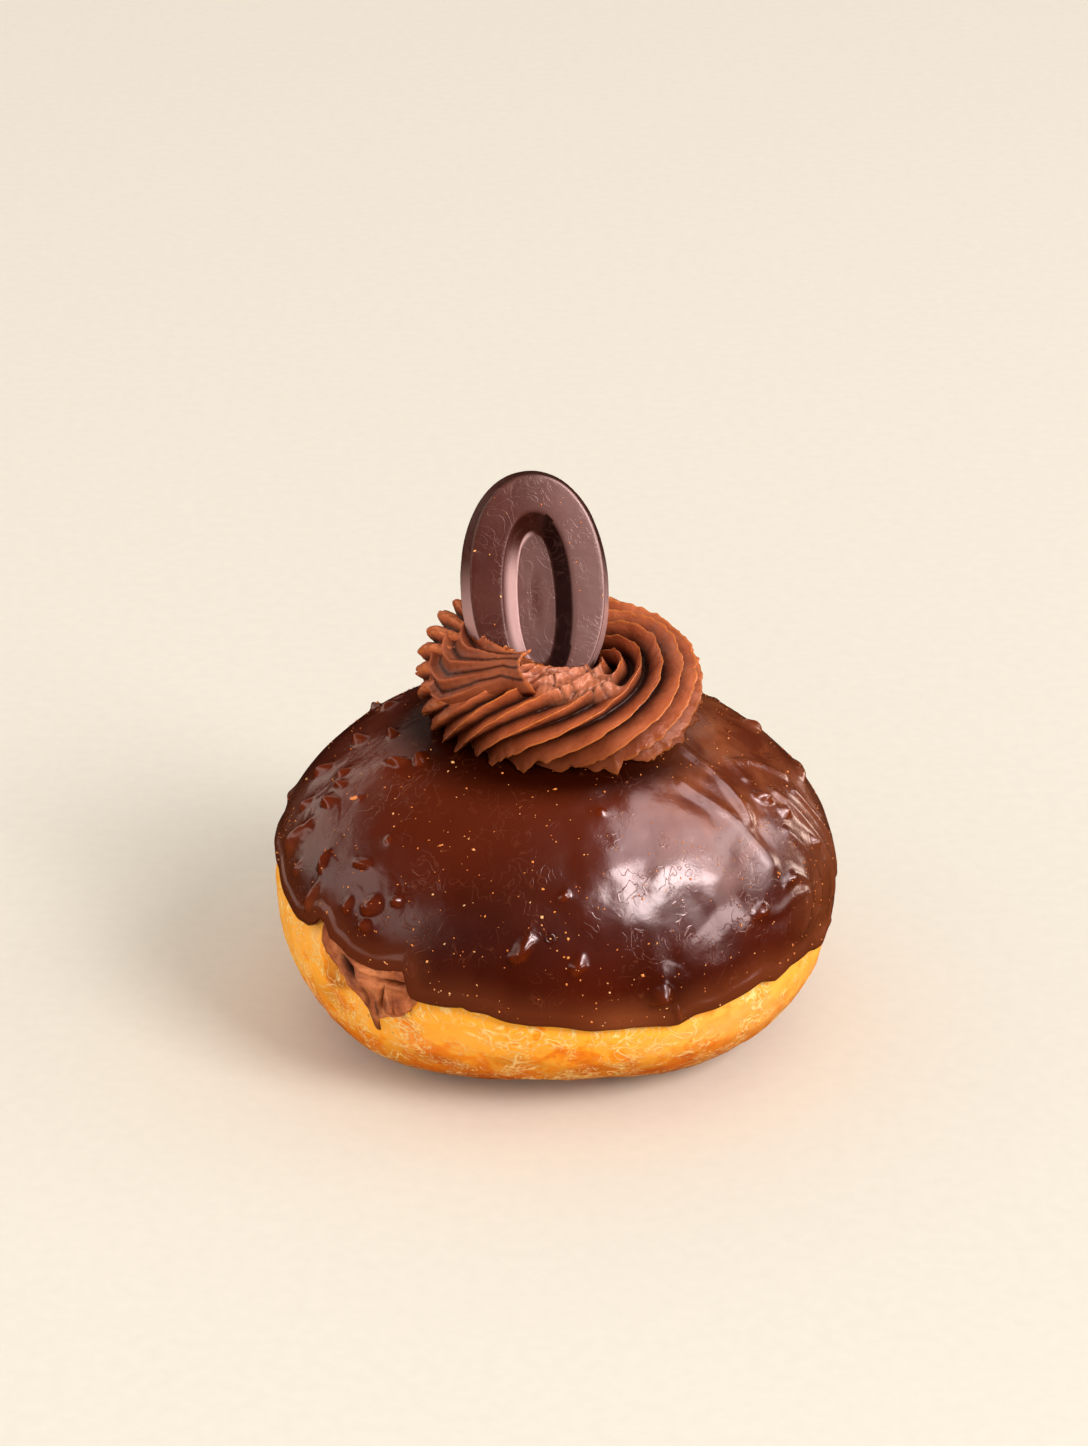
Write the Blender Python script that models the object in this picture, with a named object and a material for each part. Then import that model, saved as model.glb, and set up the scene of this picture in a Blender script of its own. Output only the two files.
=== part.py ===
"""A filled, chocolate-glazed doughnut with a piped cream ring and an oval chocolate drop.

Metres, +Z up. The origin is the centre of the flat spot that the dough rests on, and the
front of the doughnut faces -Y. Angles round the doughnut are in degrees, counted
counter-clockwise from +X as seen from above, so the front is at 270.
"""

import math
import random

import bmesh
import bpy
from mathutils import Matrix, Vector

MM = 0.001
GAP = 0.3 * MM  # clearance between two pieces that touch

# Glazed body: a half ellipse above its widest level, a fuller curve down to the flat spot
BODY_RADIUS = 42.7 * MM
WIDEST_LEVEL = 24.7 * MM
BODY_RISE = 28.0 * MM
FOOT_RADIUS = 18.3 * MM  # mean radius of the flat spot
FOOT_SHIFT_X = -1.5 * MM
FOOT_SHIFT_Y = 1.2 * MM
FOOT_CORNERS = 2.5 * MM  # how far the soft dough spreads more between its four sides
BELLY_POWER = 2.31
BELLY_POWER_SIDES = 0.29  # the belly is fuller at the sides than at front and back
BELLY_SAG = 0.019  # share by which the belly hangs wider on the right
COLUMNS = 54

# Glaze: a thin skin from the top down to a wavy dipping line
GLAZE_THICKNESS = 1.5 * MM
GLAZE_TOP_ROWS = 15
DOUGH_STEP = 0.5 * MM  # how far the bare dough lies inside the glaze's outer face
UNDER_GLAZE_ROWS = 7  # rows of the glaze's inner face, and of the dough under it
DOUGH_LOWER_ROWS = 9
GLAZE_EDGE = (  # (angle, height in mm) of the dipping line
    (8, 22.0), (24, 20.6), (42, 23.4), (63, 21.8), (85, 24.8), (105, 23.2), (127, 26.0),
    (146, 24.8), (168, 27.6), (194, 28.8), (210, 26.0), (216, 29.0), (226, 25.6),
    (239, 26.2), (242, 22.4), (252, 22.5), (268, 20.3), (283, 19.0), (296, 18.1),
    (316, 20.3), (321, 19.4), (332, 20.0), (342, 18.2), (350, 20.8),
)
GLAZE_LUMPS = (  # (angle, height, half width, rise) in mm of the lumps on the front
    (198, 35.0, 2.6, 1.3), (199, 40.8, 1.6, 1.0), (194, 43.0, 1.7, 1.1), (178, 45.0, 1.6, 1.0),
    (204, 47.5, 2.0, 1.1), (212, 35.7, 1.5, 1.0), (213, 30.9, 1.8, 1.1), (224, 32.6, 1.6, 1.1),
    (230, 33.9, 1.7, 1.1), (230, 30.6, 1.7, 1.1), (264, 32.1, 1.9, 1.3), (275, 30.0, 1.4, 0.9),
    (292, 23.4, 2.1, 1.4), (338, 42.0, 1.7, 1.0), (342, 38.8, 1.9, 1.2), (318, 31.4, 2.1, 1.2),
)
BACK_LUMPS = 10
BACK_LUMP_SEED = 11

# Filling: a pocket in the middle, a neck to the side and a smear where it has come out
POCKET_RADIUS = 17.0 * MM
POCKET_HALF_HEIGHT = 8.5 * MM
POCKET_LEVEL = 24.0 * MM
NECK_ANGLE = 230.0
NECK_LEVEL = 21.8 * MM
NECK_RADIUS = 2.6 * MM
SMEAR_DEPTH = 3.0 * MM
SMEAR_COLUMNS = 14
SMEAR_ROWS = 5
SMEAR_OUTLINE = (  # (angle, lowest height in mm) of the smear
    (217.5, 26.6), (221, 23.8), (224, 21.7), (227.5, 20.0), (230.5, 16.9), (233, 16.0),
    (237.5, 17.6), (241.5, 20.6),
)

# Piped cream ring: a star-shaped rope that turns about its own line as it goes round
RING_CENTRE_X = 1.3 * MM
RING_RADIUS = 12.9 * MM
RING_LEVEL = 55.0 * MM
ROPE_HALF_WIDTH = 8.7 * MM
ROPE_HALF_HEIGHT = 8.5 * MM
ROPE_POWER = 2.2
RING_SWELL_ANGLE = 155.0  # the side where the rope's end lies over its start stands higher
RING_SWELL_SPREAD = 60.0
RING_SWELL_RISE = 2.0 * MM
RING_SWELL_OUT = 0.7 * MM
RING_SWELL_HEIGHT = 1.0 * MM
RIDGES = 14
RIDGE_DEPTH = 2.1 * MM
RIDGE_TURNS = 18  # ridge pitches that the rope turns in one round
RIDGE_SHAPE = (0.0, 0.68, 1.0, 0.68)  # depth from one crest to the next
RING_STEPS = 48
TAIL_START = 196.0
TAIL_END = 251.0
TAIL_TIP_RADIUS = 11.4 * MM
TAIL_TIP_LEVEL = 66.0 * MM
TAIL_THICKNESS = 7.0 * MM
TAIL_STEPS = 12
TAIL_RIDGES = 9
TAIL_TURN = 1.35
CORE_RADIUS = 10.0 * MM
CORE_LEVEL = 57.0 * MM
CORE_DEPTH = 12.0 * MM

# Oval chocolate drop, leaning back and turned a little to its left
DROP_HALF_WIDTH = 10.0 * MM
DROP_HALF_LENGTH = 16.4 * MM
DROP_THICKNESS = 5.0 * MM
DROP_DRAFT = 1.1 * MM
DROP_EDGE_ROUND = 0.35 * MM
DROP_FACE_CENTRE = Vector((-2.25, -1.2, 71.9)) * MM
DROP_LEAN = math.radians(29.0)
DROP_TURN = math.radians(6.6)
DROP_SEGMENTS = 40
WELL_HALF_WIDTH = 5.4 * MM
WELL_HALF_LENGTH = 13.0 * MM
WELL_SHIFT = -1.9 * MM
WELL_DEPTH = 3.4 * MM
FLOOR_HALF_WIDTH = 2.8 * MM
FLOOR_HALF_LENGTH = 9.8 * MM


def clear_scene():
    for thing in list(bpy.data.objects):
        bpy.data.objects.remove(thing)


def make_material(name, colour, roughness):
    material = bpy.data.materials.new(name)
    material.use_nodes = True
    shader = material.node_tree.nodes["Principled BSDF"]
    shader.inputs["Base Color"].default_value = (*colour, 1.0)
    shader.inputs["Roughness"].default_value = roughness
    shader.inputs["Metallic"].default_value = 0.0
    material.diffuse_color = (*colour, 1.0)
    return material


def new_object(name, mesh_data):
    """Turn a bmesh into an object whose faces point out."""
    bmesh.ops.recalc_face_normals(mesh_data, faces=mesh_data.faces)
    mesh = bpy.data.meshes.new(name)
    mesh_data.to_mesh(mesh)
    mesh_data.free()
    thing = bpy.data.objects.new(name, mesh)
    bpy.context.scene.collection.objects.link(thing)
    return thing


def skin_rings(name, rings, first_pole=None, last_pole=None):
    """Close a stack of rings, each with the same number of points, with a pole at each end."""
    mesh_data = bmesh.new()
    loops = [[mesh_data.verts.new(point) for point in ring] for ring in rings]
    count = len(rings[0])
    for upper, lower in zip(loops, loops[1:]):
        for i in range(count):
            j = (i + 1) % count
            mesh_data.faces.new((upper[i], upper[j], lower[j], lower[i]))
    for loop, pole in ((loops[0], first_pole), (loops[-1], last_pole)):
        if pole is None:
            mesh_data.faces.new(loop)
            continue
        tip = mesh_data.verts.new(pole)
        for i in range(count):
            mesh_data.faces.new((loop[i], loop[(i + 1) % count], tip))
    return new_object(name, mesh_data)


def boolean(target, tools, operation):
    """Fuse or cut `target` with the tools in one step, and remove the tools."""
    group = bpy.data.collections.new("boolean_tools")
    bpy.context.scene.collection.children.link(group)
    for tool in tools:
        group.objects.link(tool)
    modifier = target.modifiers.new(operation, "BOOLEAN")
    modifier.operation = operation
    modifier.operand_type = "COLLECTION"
    modifier.collection = group
    modifier.solver = "EXACT"
    graph = bpy.context.evaluated_depsgraph_get()
    result = bpy.data.meshes.new_from_object(target.evaluated_get(graph))
    target.modifiers.clear()
    target.data = result
    for tool in tools:
        bpy.data.objects.remove(tool)
    bpy.data.collections.remove(group)


def finish_object(thing, material, sharp_degrees=40.0):
    thing.data.materials.clear()
    thing.data.materials.append(material)
    thing.data.shade_smooth()
    thing.data.set_sharp_from_angle(angle=math.radians(sharp_degrees))


def blend_round(points, angle):
    """Read a wavy line, given at a few angles round the doughnut, with eased steps between."""
    for k, (start, low) in enumerate(points):
        end, high = points[(k + 1) % len(points)]
        span = (end - start) % 360.0
        ahead = (angle - start) % 360.0
        if ahead <= span:
            share = 0.5 - 0.5 * math.cos(math.pi * ahead / span)
            return low + (high - low) * share
    return points[0][1]


def unevenness(angle):
    """Share by which the hand-made body is wider or narrower at an angle."""
    turn = math.radians(angle)
    return 0.006 * math.sin(2 * turn + 0.8) + 0.005 * math.sin(3 * turn + 2.0)


def foot_radius(angle):
    turn = math.radians(angle)
    shift = FOOT_SHIFT_X * math.cos(turn) + FOOT_SHIFT_Y * math.sin(turn)
    return FOOT_RADIUS + shift - FOOT_CORNERS * math.cos(4 * turn)


def belly_power(angle):
    return BELLY_POWER + BELLY_POWER_SIDES * math.cos(2 * math.radians(angle))


def latitude_of(height, angle):
    """Latitude on the body, 90 at the top and -90 at the foot, of a height."""
    if height >= WIDEST_LEVEL:
        return math.degrees(math.asin((height - WIDEST_LEVEL) / BODY_RISE))
    drop = (WIDEST_LEVEL - height) / WIDEST_LEVEL
    return -math.degrees(math.asin(drop ** (belly_power(angle) / 2)))


def body_point(angle, latitude, inset=0.0):
    """A point of the body, `inset` inside the glaze's outer face."""
    tilt = math.radians(latitude)
    turn = math.radians(angle)
    if latitude >= 0:
        radius = (BODY_RADIUS - inset) * math.cos(tilt)
        height = WIDEST_LEVEL + (BODY_RISE - inset) * math.sin(tilt)
    else:
        foot = foot_radius(angle)
        power = 2 / belly_power(angle)
        radius = foot + (BODY_RADIUS - inset - foot) * max(math.cos(tilt), 0.0) ** power
        radius *= 1.0 + BELLY_SAG * math.cos(turn) * min(-2 * math.sin(tilt), 1.0)
        height = WIDEST_LEVEL * (1.0 - (-math.sin(tilt)) ** power)
    radius *= 1.0 + unevenness(angle)
    return Vector((radius * math.cos(turn), radius * math.sin(turn), height))


def column_angles():
    return [360.0 * i / COLUMNS for i in range(COLUMNS)]


def body_ring(share, inset, margin=0.0):
    """A ring round the body, `share` of the way from the top to the dipping line."""
    ring = []
    for angle in column_angles():
        edge = latitude_of(blend_round(GLAZE_EDGE, angle) * MM - margin, angle)
        ring.append(body_point(angle, 90.0 + (edge - 90.0) * share, inset))
    return ring


def body_top(inset):
    return Vector((0.0, 0.0, WIDEST_LEVEL + BODY_RISE - inset))


def dough_bun():
    """Dough up to the underside of the glaze, with a shoulder below the dipping line."""
    under_glaze = GLAZE_THICKNESS + GAP
    rings = []
    for row in range(1, UNDER_GLAZE_ROWS + 1):
        rings.append(body_ring(row / UNDER_GLAZE_ROWS, under_glaze, GAP))
    rings.append(body_ring(1.0, DOUGH_STEP, 1.5 * GAP))
    for row in range(1, DOUGH_LOWER_ROWS + 1):
        share = row / DOUGH_LOWER_ROWS
        ring = []
        for angle in column_angles():
            edge = latitude_of(blend_round(GLAZE_EDGE, angle) * MM - 1.5 * GAP, angle)
            ring.append(body_point(angle, edge + (-90.0 - edge) * share, DOUGH_STEP))
        rings.append(ring)
    return skin_rings("dough_bun", rings, body_top(under_glaze), Vector((0.0, 0.0, 0.0)))


def glaze_lump(angle, height, half_width, rise):
    """A flattened ball set into the glaze's outer face."""
    latitude = latitude_of(height, angle)
    centre = body_point(angle, latitude)
    up_slope = body_point(angle, latitude + 1.0) - centre
    sideways = body_point(angle + 1.0, latitude) - centre
    outward = sideways.cross(up_slope).normalized()
    mesh_data = bmesh.new()
    bmesh.ops.create_icosphere(mesh_data, subdivisions=2, radius=1.0)
    scale = Matrix.Diagonal((half_width, half_width * 0.8, rise, 1.0))
    lie = outward.to_track_quat("Z", "Y").to_matrix().to_4x4()
    bmesh.ops.transform(mesh_data, matrix=lie @ scale, verts=mesh_data.verts)
    bmesh.ops.translate(mesh_data, vec=centre, verts=mesh_data.verts)
    return new_object("glaze_lump", mesh_data)


def back_lumps():
    """Lumps on the half of the glaze that faces back, drawn from a seeded rule."""
    draw = random.Random(BACK_LUMP_SEED)
    lumps = []
    for k in range(BACK_LUMPS):
        angle = 2.0 + 172.0 * (k + draw.random()) / BACK_LUMPS
        height = draw.uniform(29.0, 46.5)
        lumps.append((angle, height, draw.uniform(1.4, 2.2), draw.uniform(0.9, 1.2)))
    return lumps


def glaze_skin():
    """Outer face down to a rounded lip, and back up along the inner face."""
    rings = [body_ring(row / GLAZE_TOP_ROWS, 0.0) for row in range(1, GLAZE_TOP_ROWS)]
    rings.append(body_ring(1.0, 0.15 * GLAZE_THICKNESS, -0.35 * GLAZE_THICKNESS))
    rings.append(body_ring(1.0, 0.55 * GLAZE_THICKNESS))
    rings.append(body_ring(1.0, GLAZE_THICKNESS))
    for row in range(UNDER_GLAZE_ROWS - 1, 0, -1):
        rings.append(body_ring(row / UNDER_GLAZE_ROWS, GLAZE_THICKNESS))
    skin = skin_rings("glaze", rings, body_top(0.0), body_top(GLAZE_THICKNESS))
    lumps = []
    for angle, height, half_width, rise in GLAZE_LUMPS + tuple(back_lumps()):
        lumps.append(glaze_lump(angle, height * MM, half_width * MM, rise * MM))
    boolean(skin, lumps, "UNION")
    return skin


def filling_pocket(grow):
    mesh_data = bmesh.new()
    bmesh.ops.create_uvsphere(mesh_data, u_segments=16, v_segments=8, radius=1.0)
    reach = POCKET_RADIUS + grow
    scale = Matrix.Diagonal((reach, reach, POCKET_HALF_HEIGHT + grow, 1.0))
    bmesh.ops.transform(mesh_data, matrix=scale, verts=mesh_data.verts)
    bmesh.ops.translate(mesh_data, vec=(0.0, 0.0, POCKET_LEVEL), verts=mesh_data.verts)
    return new_object("pocket", mesh_data)


def filling_neck(grow):
    """The channel from the pocket to the smear."""
    turn = math.radians(NECK_ANGLE)
    outward = Vector((math.cos(turn), math.sin(turn), 0.0))
    near = outward * (0.6 * POCKET_RADIUS) + Vector((0.0, 0.0, POCKET_LEVEL))
    far = outward * (BODY_RADIUS - 0.7 * SMEAR_DEPTH) + Vector((0.0, 0.0, NECK_LEVEL))
    axis = far - near
    mesh_data = bmesh.new()
    radius = NECK_RADIUS + grow
    bmesh.ops.create_cone(mesh_data, cap_ends=True, segments=12, radius1=radius,
                          radius2=radius, depth=axis.length)
    lie = axis.to_track_quat("Z", "Y").to_matrix().to_4x4()
    bmesh.ops.transform(mesh_data, matrix=lie, verts=mesh_data.verts)
    bmesh.ops.translate(mesh_data, vec=(near + far) / 2, verts=mesh_data.verts)
    return new_object("neck", mesh_data)


def smear_rise(across, up):
    """How far the smear stands out, from 0 to 1 across and 0 to 1 up."""
    dome = (1.0 - (2 * across - 1) ** 4) * (1.0 - (1.0 - up) ** 3)
    folds = 0.5 + 0.5 * math.sin(9.0 * across + 5.0 * up)
    hollow = math.exp(-((across - 0.36) / 0.09) ** 2 - ((up - 0.62) / 0.25) ** 2)
    return (0.4 + 0.9 * dome * folds - 2.0 * hollow) * MM


def filling_smear(grow, proud):
    """A patch in the dough's side, from its lower outline up to just below the glaze."""
    start = SMEAR_OUTLINE[0][0]
    end = SMEAR_OUTLINE[-1][0]
    spread = math.degrees(grow / BODY_RADIUS)
    outer, inner = [], []
    for i in range(SMEAR_COLUMNS + 1):
        across = i / SMEAR_COLUMNS
        angle = start + (end - start) * across
        low = blend_round(SMEAR_OUTLINE, angle) * MM - grow
        high = blend_round(GLAZE_EDGE, angle) * MM - 1.3 * MM + grow
        high = max(high, low + 0.8 * MM + grow)
        place = angle + spread * (2 * across - 1)
        outer_row, inner_row = [], []
        for j in range(SMEAR_ROWS + 1):
            up = j / SMEAR_ROWS
            latitude = latitude_of(low + (high - low) * up, angle)
            stand = DOUGH_STEP - smear_rise(across, up) - proud
            outer_row.append(body_point(place, latitude, stand))
            inner_row.append(body_point(place, latitude, SMEAR_DEPTH + grow))
        outer.append(outer_row)
        inner.append(inner_row)
    mesh_data = bmesh.new()
    grids = []
    for rows in (outer, inner):
        grids.append([[mesh_data.verts.new(point) for point in row] for row in rows])
    for grid in grids:
        for a, b in zip(grid, grid[1:]):
            for j in range(SMEAR_ROWS):
                mesh_data.faces.new((a[j], a[j + 1], b[j + 1], b[j]))
    rims = [grid[0] + [row[-1] for row in grid[1:-1]] + grid[-1][::-1]
            + [row[0] for row in grid[-2:0:-1]] for grid in grids]
    for k in range(len(rims[0])):
        after = (k + 1) % len(rims[0])
        mesh_data.faces.new((rims[0][k], rims[0][after], rims[1][after], rims[1][k]))
    return new_object("smear", mesh_data)


def filling_body(name, grow=0.0, proud=0.0):
    body = filling_pocket(grow)
    boolean(body, [filling_neck(grow), filling_smear(grow, proud)], "UNION")
    body.name = name
    return body


def rope_section(theta, depth, half_width, half_height):
    """Offset (outward, up) of a point of the rope's section, `depth` below its crests."""
    out = math.cos(theta)
    up = math.sin(theta)
    reach = (abs(out) ** ROPE_POWER + abs(up) ** ROPE_POWER) ** (-1 / ROPE_POWER)
    return out * (half_width * reach - depth), up * (half_height * reach - depth)


def ring_point(angle, out, up, radius, level):
    turn = math.radians(angle)
    reach = radius + out
    return Vector((RING_CENTRE_X + reach * math.cos(turn), reach * math.sin(turn), level + up))


def ring_swell(angle):
    """1 where the ring stands highest, easing to 0 on both sides."""
    off = abs((angle - RING_SWELL_ANGLE + 180.0) % 360.0 - 180.0)
    return math.cos(math.pi / 2 * min(off / RING_SWELL_SPREAD, 1.0)) ** 2


def cream_ring():
    """The rope closed to a ring: its ridges meet again after a whole number of pitches."""
    per_ridge = len(RIDGE_SHAPE)
    count = RIDGES * per_ridge
    pitch = 2 * math.pi / RIDGES
    mesh_data = bmesh.new()
    loops = []
    for step in range(RING_STEPS):
        share = step / RING_STEPS
        swell = ring_swell(360.0 * share)
        half_height = ROPE_HALF_HEIGHT + RING_SWELL_HEIGHT * swell
        radius = RING_RADIUS + RING_SWELL_OUT * swell
        level = RING_LEVEL + RING_SWELL_RISE * swell
        loop = []
        for k in range(count):
            theta = 2 * math.pi * k / count + RIDGE_TURNS * pitch * share
            depth = RIDGE_DEPTH * RIDGE_SHAPE[k % per_ridge]
            out, up = rope_section(theta, depth, ROPE_HALF_WIDTH, half_height)
            point = ring_point(360.0 * share, out, up, radius, level)
            loop.append(mesh_data.verts.new(point))
        loops.append(loop)
    for step in range(RING_STEPS):
        here = loops[step]
        ahead = loops[(step + 1) % RING_STEPS]
        shift = RIDGE_TURNS * per_ridge if step == RING_STEPS - 1 else 0
        for k in range(count):
            a = (k + shift) % count
            b = (k + 1 + shift) % count
            mesh_data.faces.new((here[k], here[(k + 1) % count], ahead[b], ahead[a]))
    return new_object("cream_rosette", mesh_data)


def cream_tail():
    """The end of the rope: it climbs over the ring's start and is drawn out to a point."""
    count = 2 * TAIL_RIDGES
    rings = []
    for step in range(TAIL_STEPS):
        share = step / TAIL_STEPS
        angle = TAIL_START + (TAIL_END - TAIL_START) * share
        size = TAIL_THICKNESS * (0.75 + 0.5 * share - 1.25 * share ** 3)
        radius = RING_RADIUS + (TAIL_TIP_RADIUS - RING_RADIUS) * share
        level = RING_LEVEL + (TAIL_TIP_LEVEL - RING_LEVEL) * (0.4 * share + 0.6 * share ** 3)
        ring = []
        for k in range(count):
            theta = 2 * math.pi * k / count + TAIL_TURN * share
            depth = 0.2 * size * (k % 2)
            out, up = rope_section(theta, depth, size, size)
            ring.append(ring_point(angle, out, up, radius, level))
        rings.append(ring)
    tip = ring_point(TAIL_END, 0.0, 0.0, TAIL_TIP_RADIUS, TAIL_TIP_LEVEL)
    return skin_rings("tail", rings, None, tip)


def cream_core():
    """Cream that closes the bottom of the ring's hole."""
    mesh_data = bmesh.new()
    bmesh.ops.create_cone(mesh_data, cap_ends=True, segments=24, radius1=CORE_RADIUS,
                          radius2=CORE_RADIUS, depth=CORE_DEPTH)
    centre = Vector((RING_CENTRE_X, 0.0, CORE_LEVEL - CORE_DEPTH / 2))
    bmesh.ops.translate(mesh_data, vec=centre, verts=mesh_data.verts)
    return new_object("core", mesh_data)


def dome_cutter():
    """The glazed dome grown by the gap, down to a level below the cream."""
    rings = [body_ring(row / GLAZE_TOP_ROWS, -GAP) for row in range(1, GLAZE_TOP_ROWS - 4)]
    return skin_rings("dome", rings, body_top(-GAP), None)


def drop_ring(half_width, half_length, depth, shift=0.0, power=2.1):
    """An oval loop round the drop, `depth` behind its face."""
    turn = Matrix.Rotation(DROP_TURN, 3, "Z") @ Matrix.Rotation(-DROP_LEAN, 3, "X")
    ring = []
    for k in range(DROP_SEGMENTS):
        theta = 2 * math.pi * k / DROP_SEGMENTS
        out = math.cos(theta)
        up = math.sin(theta)
        reach = (abs(out) ** power + abs(up) ** power) ** (-1 / power)
        local = Vector((half_width * out * reach, depth, half_length * up * reach + shift))
        ring.append(DROP_FACE_CENTRE + turn @ local)
    return ring


def ring_middle(ring):
    return sum(ring, Vector()) / len(ring)


def chocolate_oval():
    """A moulded oval with sloping sides and a deep oval well in its face."""
    edge = DROP_EDGE_ROUND
    back_width = DROP_HALF_WIDTH + DROP_DRAFT
    back_length = DROP_HALF_LENGTH + DROP_DRAFT
    middle = 0.6 * WELL_DEPTH
    rings = [
        drop_ring(back_width - edge, back_length - edge, DROP_THICKNESS),
        drop_ring(back_width, back_length, DROP_THICKNESS - edge),
        drop_ring(DROP_HALF_WIDTH, DROP_HALF_LENGTH, edge),
        drop_ring(DROP_HALF_WIDTH - edge, DROP_HALF_LENGTH - edge, 0.0),
        drop_ring(WELL_HALF_WIDTH, WELL_HALF_LENGTH, 0.0, WELL_SHIFT, 2.2),
        drop_ring(0.7 * WELL_HALF_WIDTH, 0.88 * WELL_HALF_LENGTH, middle, WELL_SHIFT, 2.2),
        drop_ring(FLOOR_HALF_WIDTH, FLOOR_HALF_LENGTH, WELL_DEPTH, WELL_SHIFT, 2.2),
    ]
    return skin_rings("chocolate_oval", rings, ring_middle(rings[0]), ring_middle(rings[-1]))


def drop_cutter():
    """The drop's outer shape grown by the gap, without its well."""
    back_width = DROP_HALF_WIDTH + DROP_DRAFT + GAP
    back_length = DROP_HALF_LENGTH + DROP_DRAFT + GAP
    rings = [
        drop_ring(back_width, back_length, DROP_THICKNESS + GAP),
        drop_ring(DROP_HALF_WIDTH + GAP, DROP_HALF_LENGTH + GAP, -GAP),
    ]
    return skin_rings("drop", rings)


def cream_rosette():
    rosette = cream_ring()
    boolean(rosette, [cream_tail(), cream_core()], "UNION")
    boolean(rosette, [dome_cutter(), drop_cutter()], "DIFFERENCE")
    return rosette


def build():
    clear_scene()
    bun = dough_bun()
    boolean(bun, [filling_body("room_for_filling", GAP, 4.0 * MM)], "DIFFERENCE")
    finish_object(bun, make_material("dough", (0.80, 0.40, 0.12), 0.6))
    finish_object(filling_body("filling"), make_material("filling", (0.26, 0.11, 0.06), 0.5))
    finish_object(glaze_skin(), make_material("glaze", (0.07, 0.02, 0.01), 0.2))
    finish_object(cream_rosette(), make_material("cream", (0.25, 0.09, 0.04), 0.5), 60.0)
    finish_object(chocolate_oval(), make_material("chocolate", (0.09, 0.04, 0.035), 0.35))


build()
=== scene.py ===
# %% [markdown]
# A filled doughnut under dark chocolate glaze, with a ring of piped chocolate cream and a moulded
# chocolate oval standing in it. This lesson builds its looks round a solid model that is already
# made. The solid model gives the true size, so the first cell loads it.

# %% Load the solid model
import math
import random

import bpy
import numpy as np
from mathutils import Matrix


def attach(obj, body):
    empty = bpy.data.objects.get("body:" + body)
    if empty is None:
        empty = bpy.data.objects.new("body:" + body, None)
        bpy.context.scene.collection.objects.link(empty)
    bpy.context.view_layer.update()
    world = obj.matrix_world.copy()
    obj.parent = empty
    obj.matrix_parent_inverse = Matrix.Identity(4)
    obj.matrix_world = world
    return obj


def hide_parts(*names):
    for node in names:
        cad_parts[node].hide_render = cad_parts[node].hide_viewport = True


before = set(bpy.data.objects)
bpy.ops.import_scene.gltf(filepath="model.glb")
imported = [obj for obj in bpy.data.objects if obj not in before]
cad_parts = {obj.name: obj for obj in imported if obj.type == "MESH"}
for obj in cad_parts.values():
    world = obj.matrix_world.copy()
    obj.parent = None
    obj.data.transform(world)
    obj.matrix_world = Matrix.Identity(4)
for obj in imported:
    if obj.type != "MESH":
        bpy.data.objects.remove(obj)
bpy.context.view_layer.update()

MM = 0.001

# %% [markdown]
# The camera looks at the doughnut from the front and a little above, through a long lens, so the
# shape is hardly squeezed by perspective. It could be aimed by typing angles, but a direction
# vector that is turned into a rotation is easier, because it names the point that is looked at.

# %% Camera
from mathutils import Matrix, Vector

CAMERA_PLACE = Vector((0.0, -0.5474, 0.3161))
CAMERA_AIM = Vector((-0.00135, 0.00994, 0.04369))
camera_data = bpy.data.cameras.new("camera")
camera_data.lens = 100.64
camera_data.clip_start = 0.05
camera = bpy.data.objects.new("camera", camera_data)
camera.location = CAMERA_PLACE
camera.rotation_euler = (CAMERA_AIM - CAMERA_PLACE).to_track_quat("-Z", "Y").to_euler()
bpy.context.scene.collection.objects.link(camera)
bpy.context.scene.camera = camera
bpy.context.scene.view_settings.view_transform = "Standard"
print("camera is", round(CAMERA_PLACE.length * 1000), "mm from the origin")

# %% [markdown]
# Nodes are easier to read when each one is made in a single line. The first helper adds a node,
# fills its sockets with numbers or with the output of another node, and hands the node back. The
# others do the same for what comes back often: ramps, noise, mixing, marks on a mesh and bumps.

# %% Helper for shader nodes
def add(tree, kind, inputs=None, **settings):
    made = tree.nodes.new(kind)
    for key, value in settings.items():
        setattr(made, key, value)
    for key, value in (inputs or {}).items():
        if isinstance(value, bpy.types.NodeSocket):
            tree.links.new(value, made.inputs[key])
        else:
            made.inputs[key].default_value = value
    return made


def new_material(name):
    material = bpy.data.materials.new(name)
    material.use_nodes = True
    tree = material.node_tree
    return material, tree, tree.nodes["Principled BSDF"]


def ramp(tree, value, stops, mode="LINEAR"):
    """Map a value to colours or greys; each stop is (place, grey) or (place, (r, g, b))."""
    made = add(tree, "ShaderNodeValToRGB", {"Fac": value})
    made.color_ramp.interpolation = mode
    while len(made.color_ramp.elements) < len(stops):
        made.color_ramp.elements.new(0.5)
    for element, (place, colour) in zip(made.color_ramp.elements, stops):
        element.position = place
        element.color = (*colour, 1.0) if isinstance(colour, tuple) else (colour,) * 3 + (1.0,)
    return made.outputs["Color"]


def noise_node(tree, where, size, detail=3.0, distortion=0.0, rough=0.5):
    """Cloudy noise whose blobs are about `size` metres across."""
    return add(tree, "ShaderNodeTexNoise", {
        "Vector": where, "Scale": 0.5 / size, "Detail": detail, "Roughness": rough,
        "Distortion": distortion}).outputs["Fac"]


def mix_colour(tree, share, first, second, mode="MIX"):
    made = add(tree, "ShaderNodeMix", data_type="RGBA", blend_type=mode)
    for socket, value in ((0, share), (6, first), (7, second)):
        if isinstance(value, bpy.types.NodeSocket):
            tree.links.new(value, made.inputs[socket])
        elif isinstance(value, tuple):
            made.inputs[socket].default_value = (*value, 1.0)
        else:
            made.inputs[socket].default_value = value
    return made.outputs[2]


def sum_up(tree, operation, first, second):
    made = add(tree, "ShaderNodeMath", {0: first, 1: second}, operation=operation)
    return made.outputs["Value"]


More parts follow.
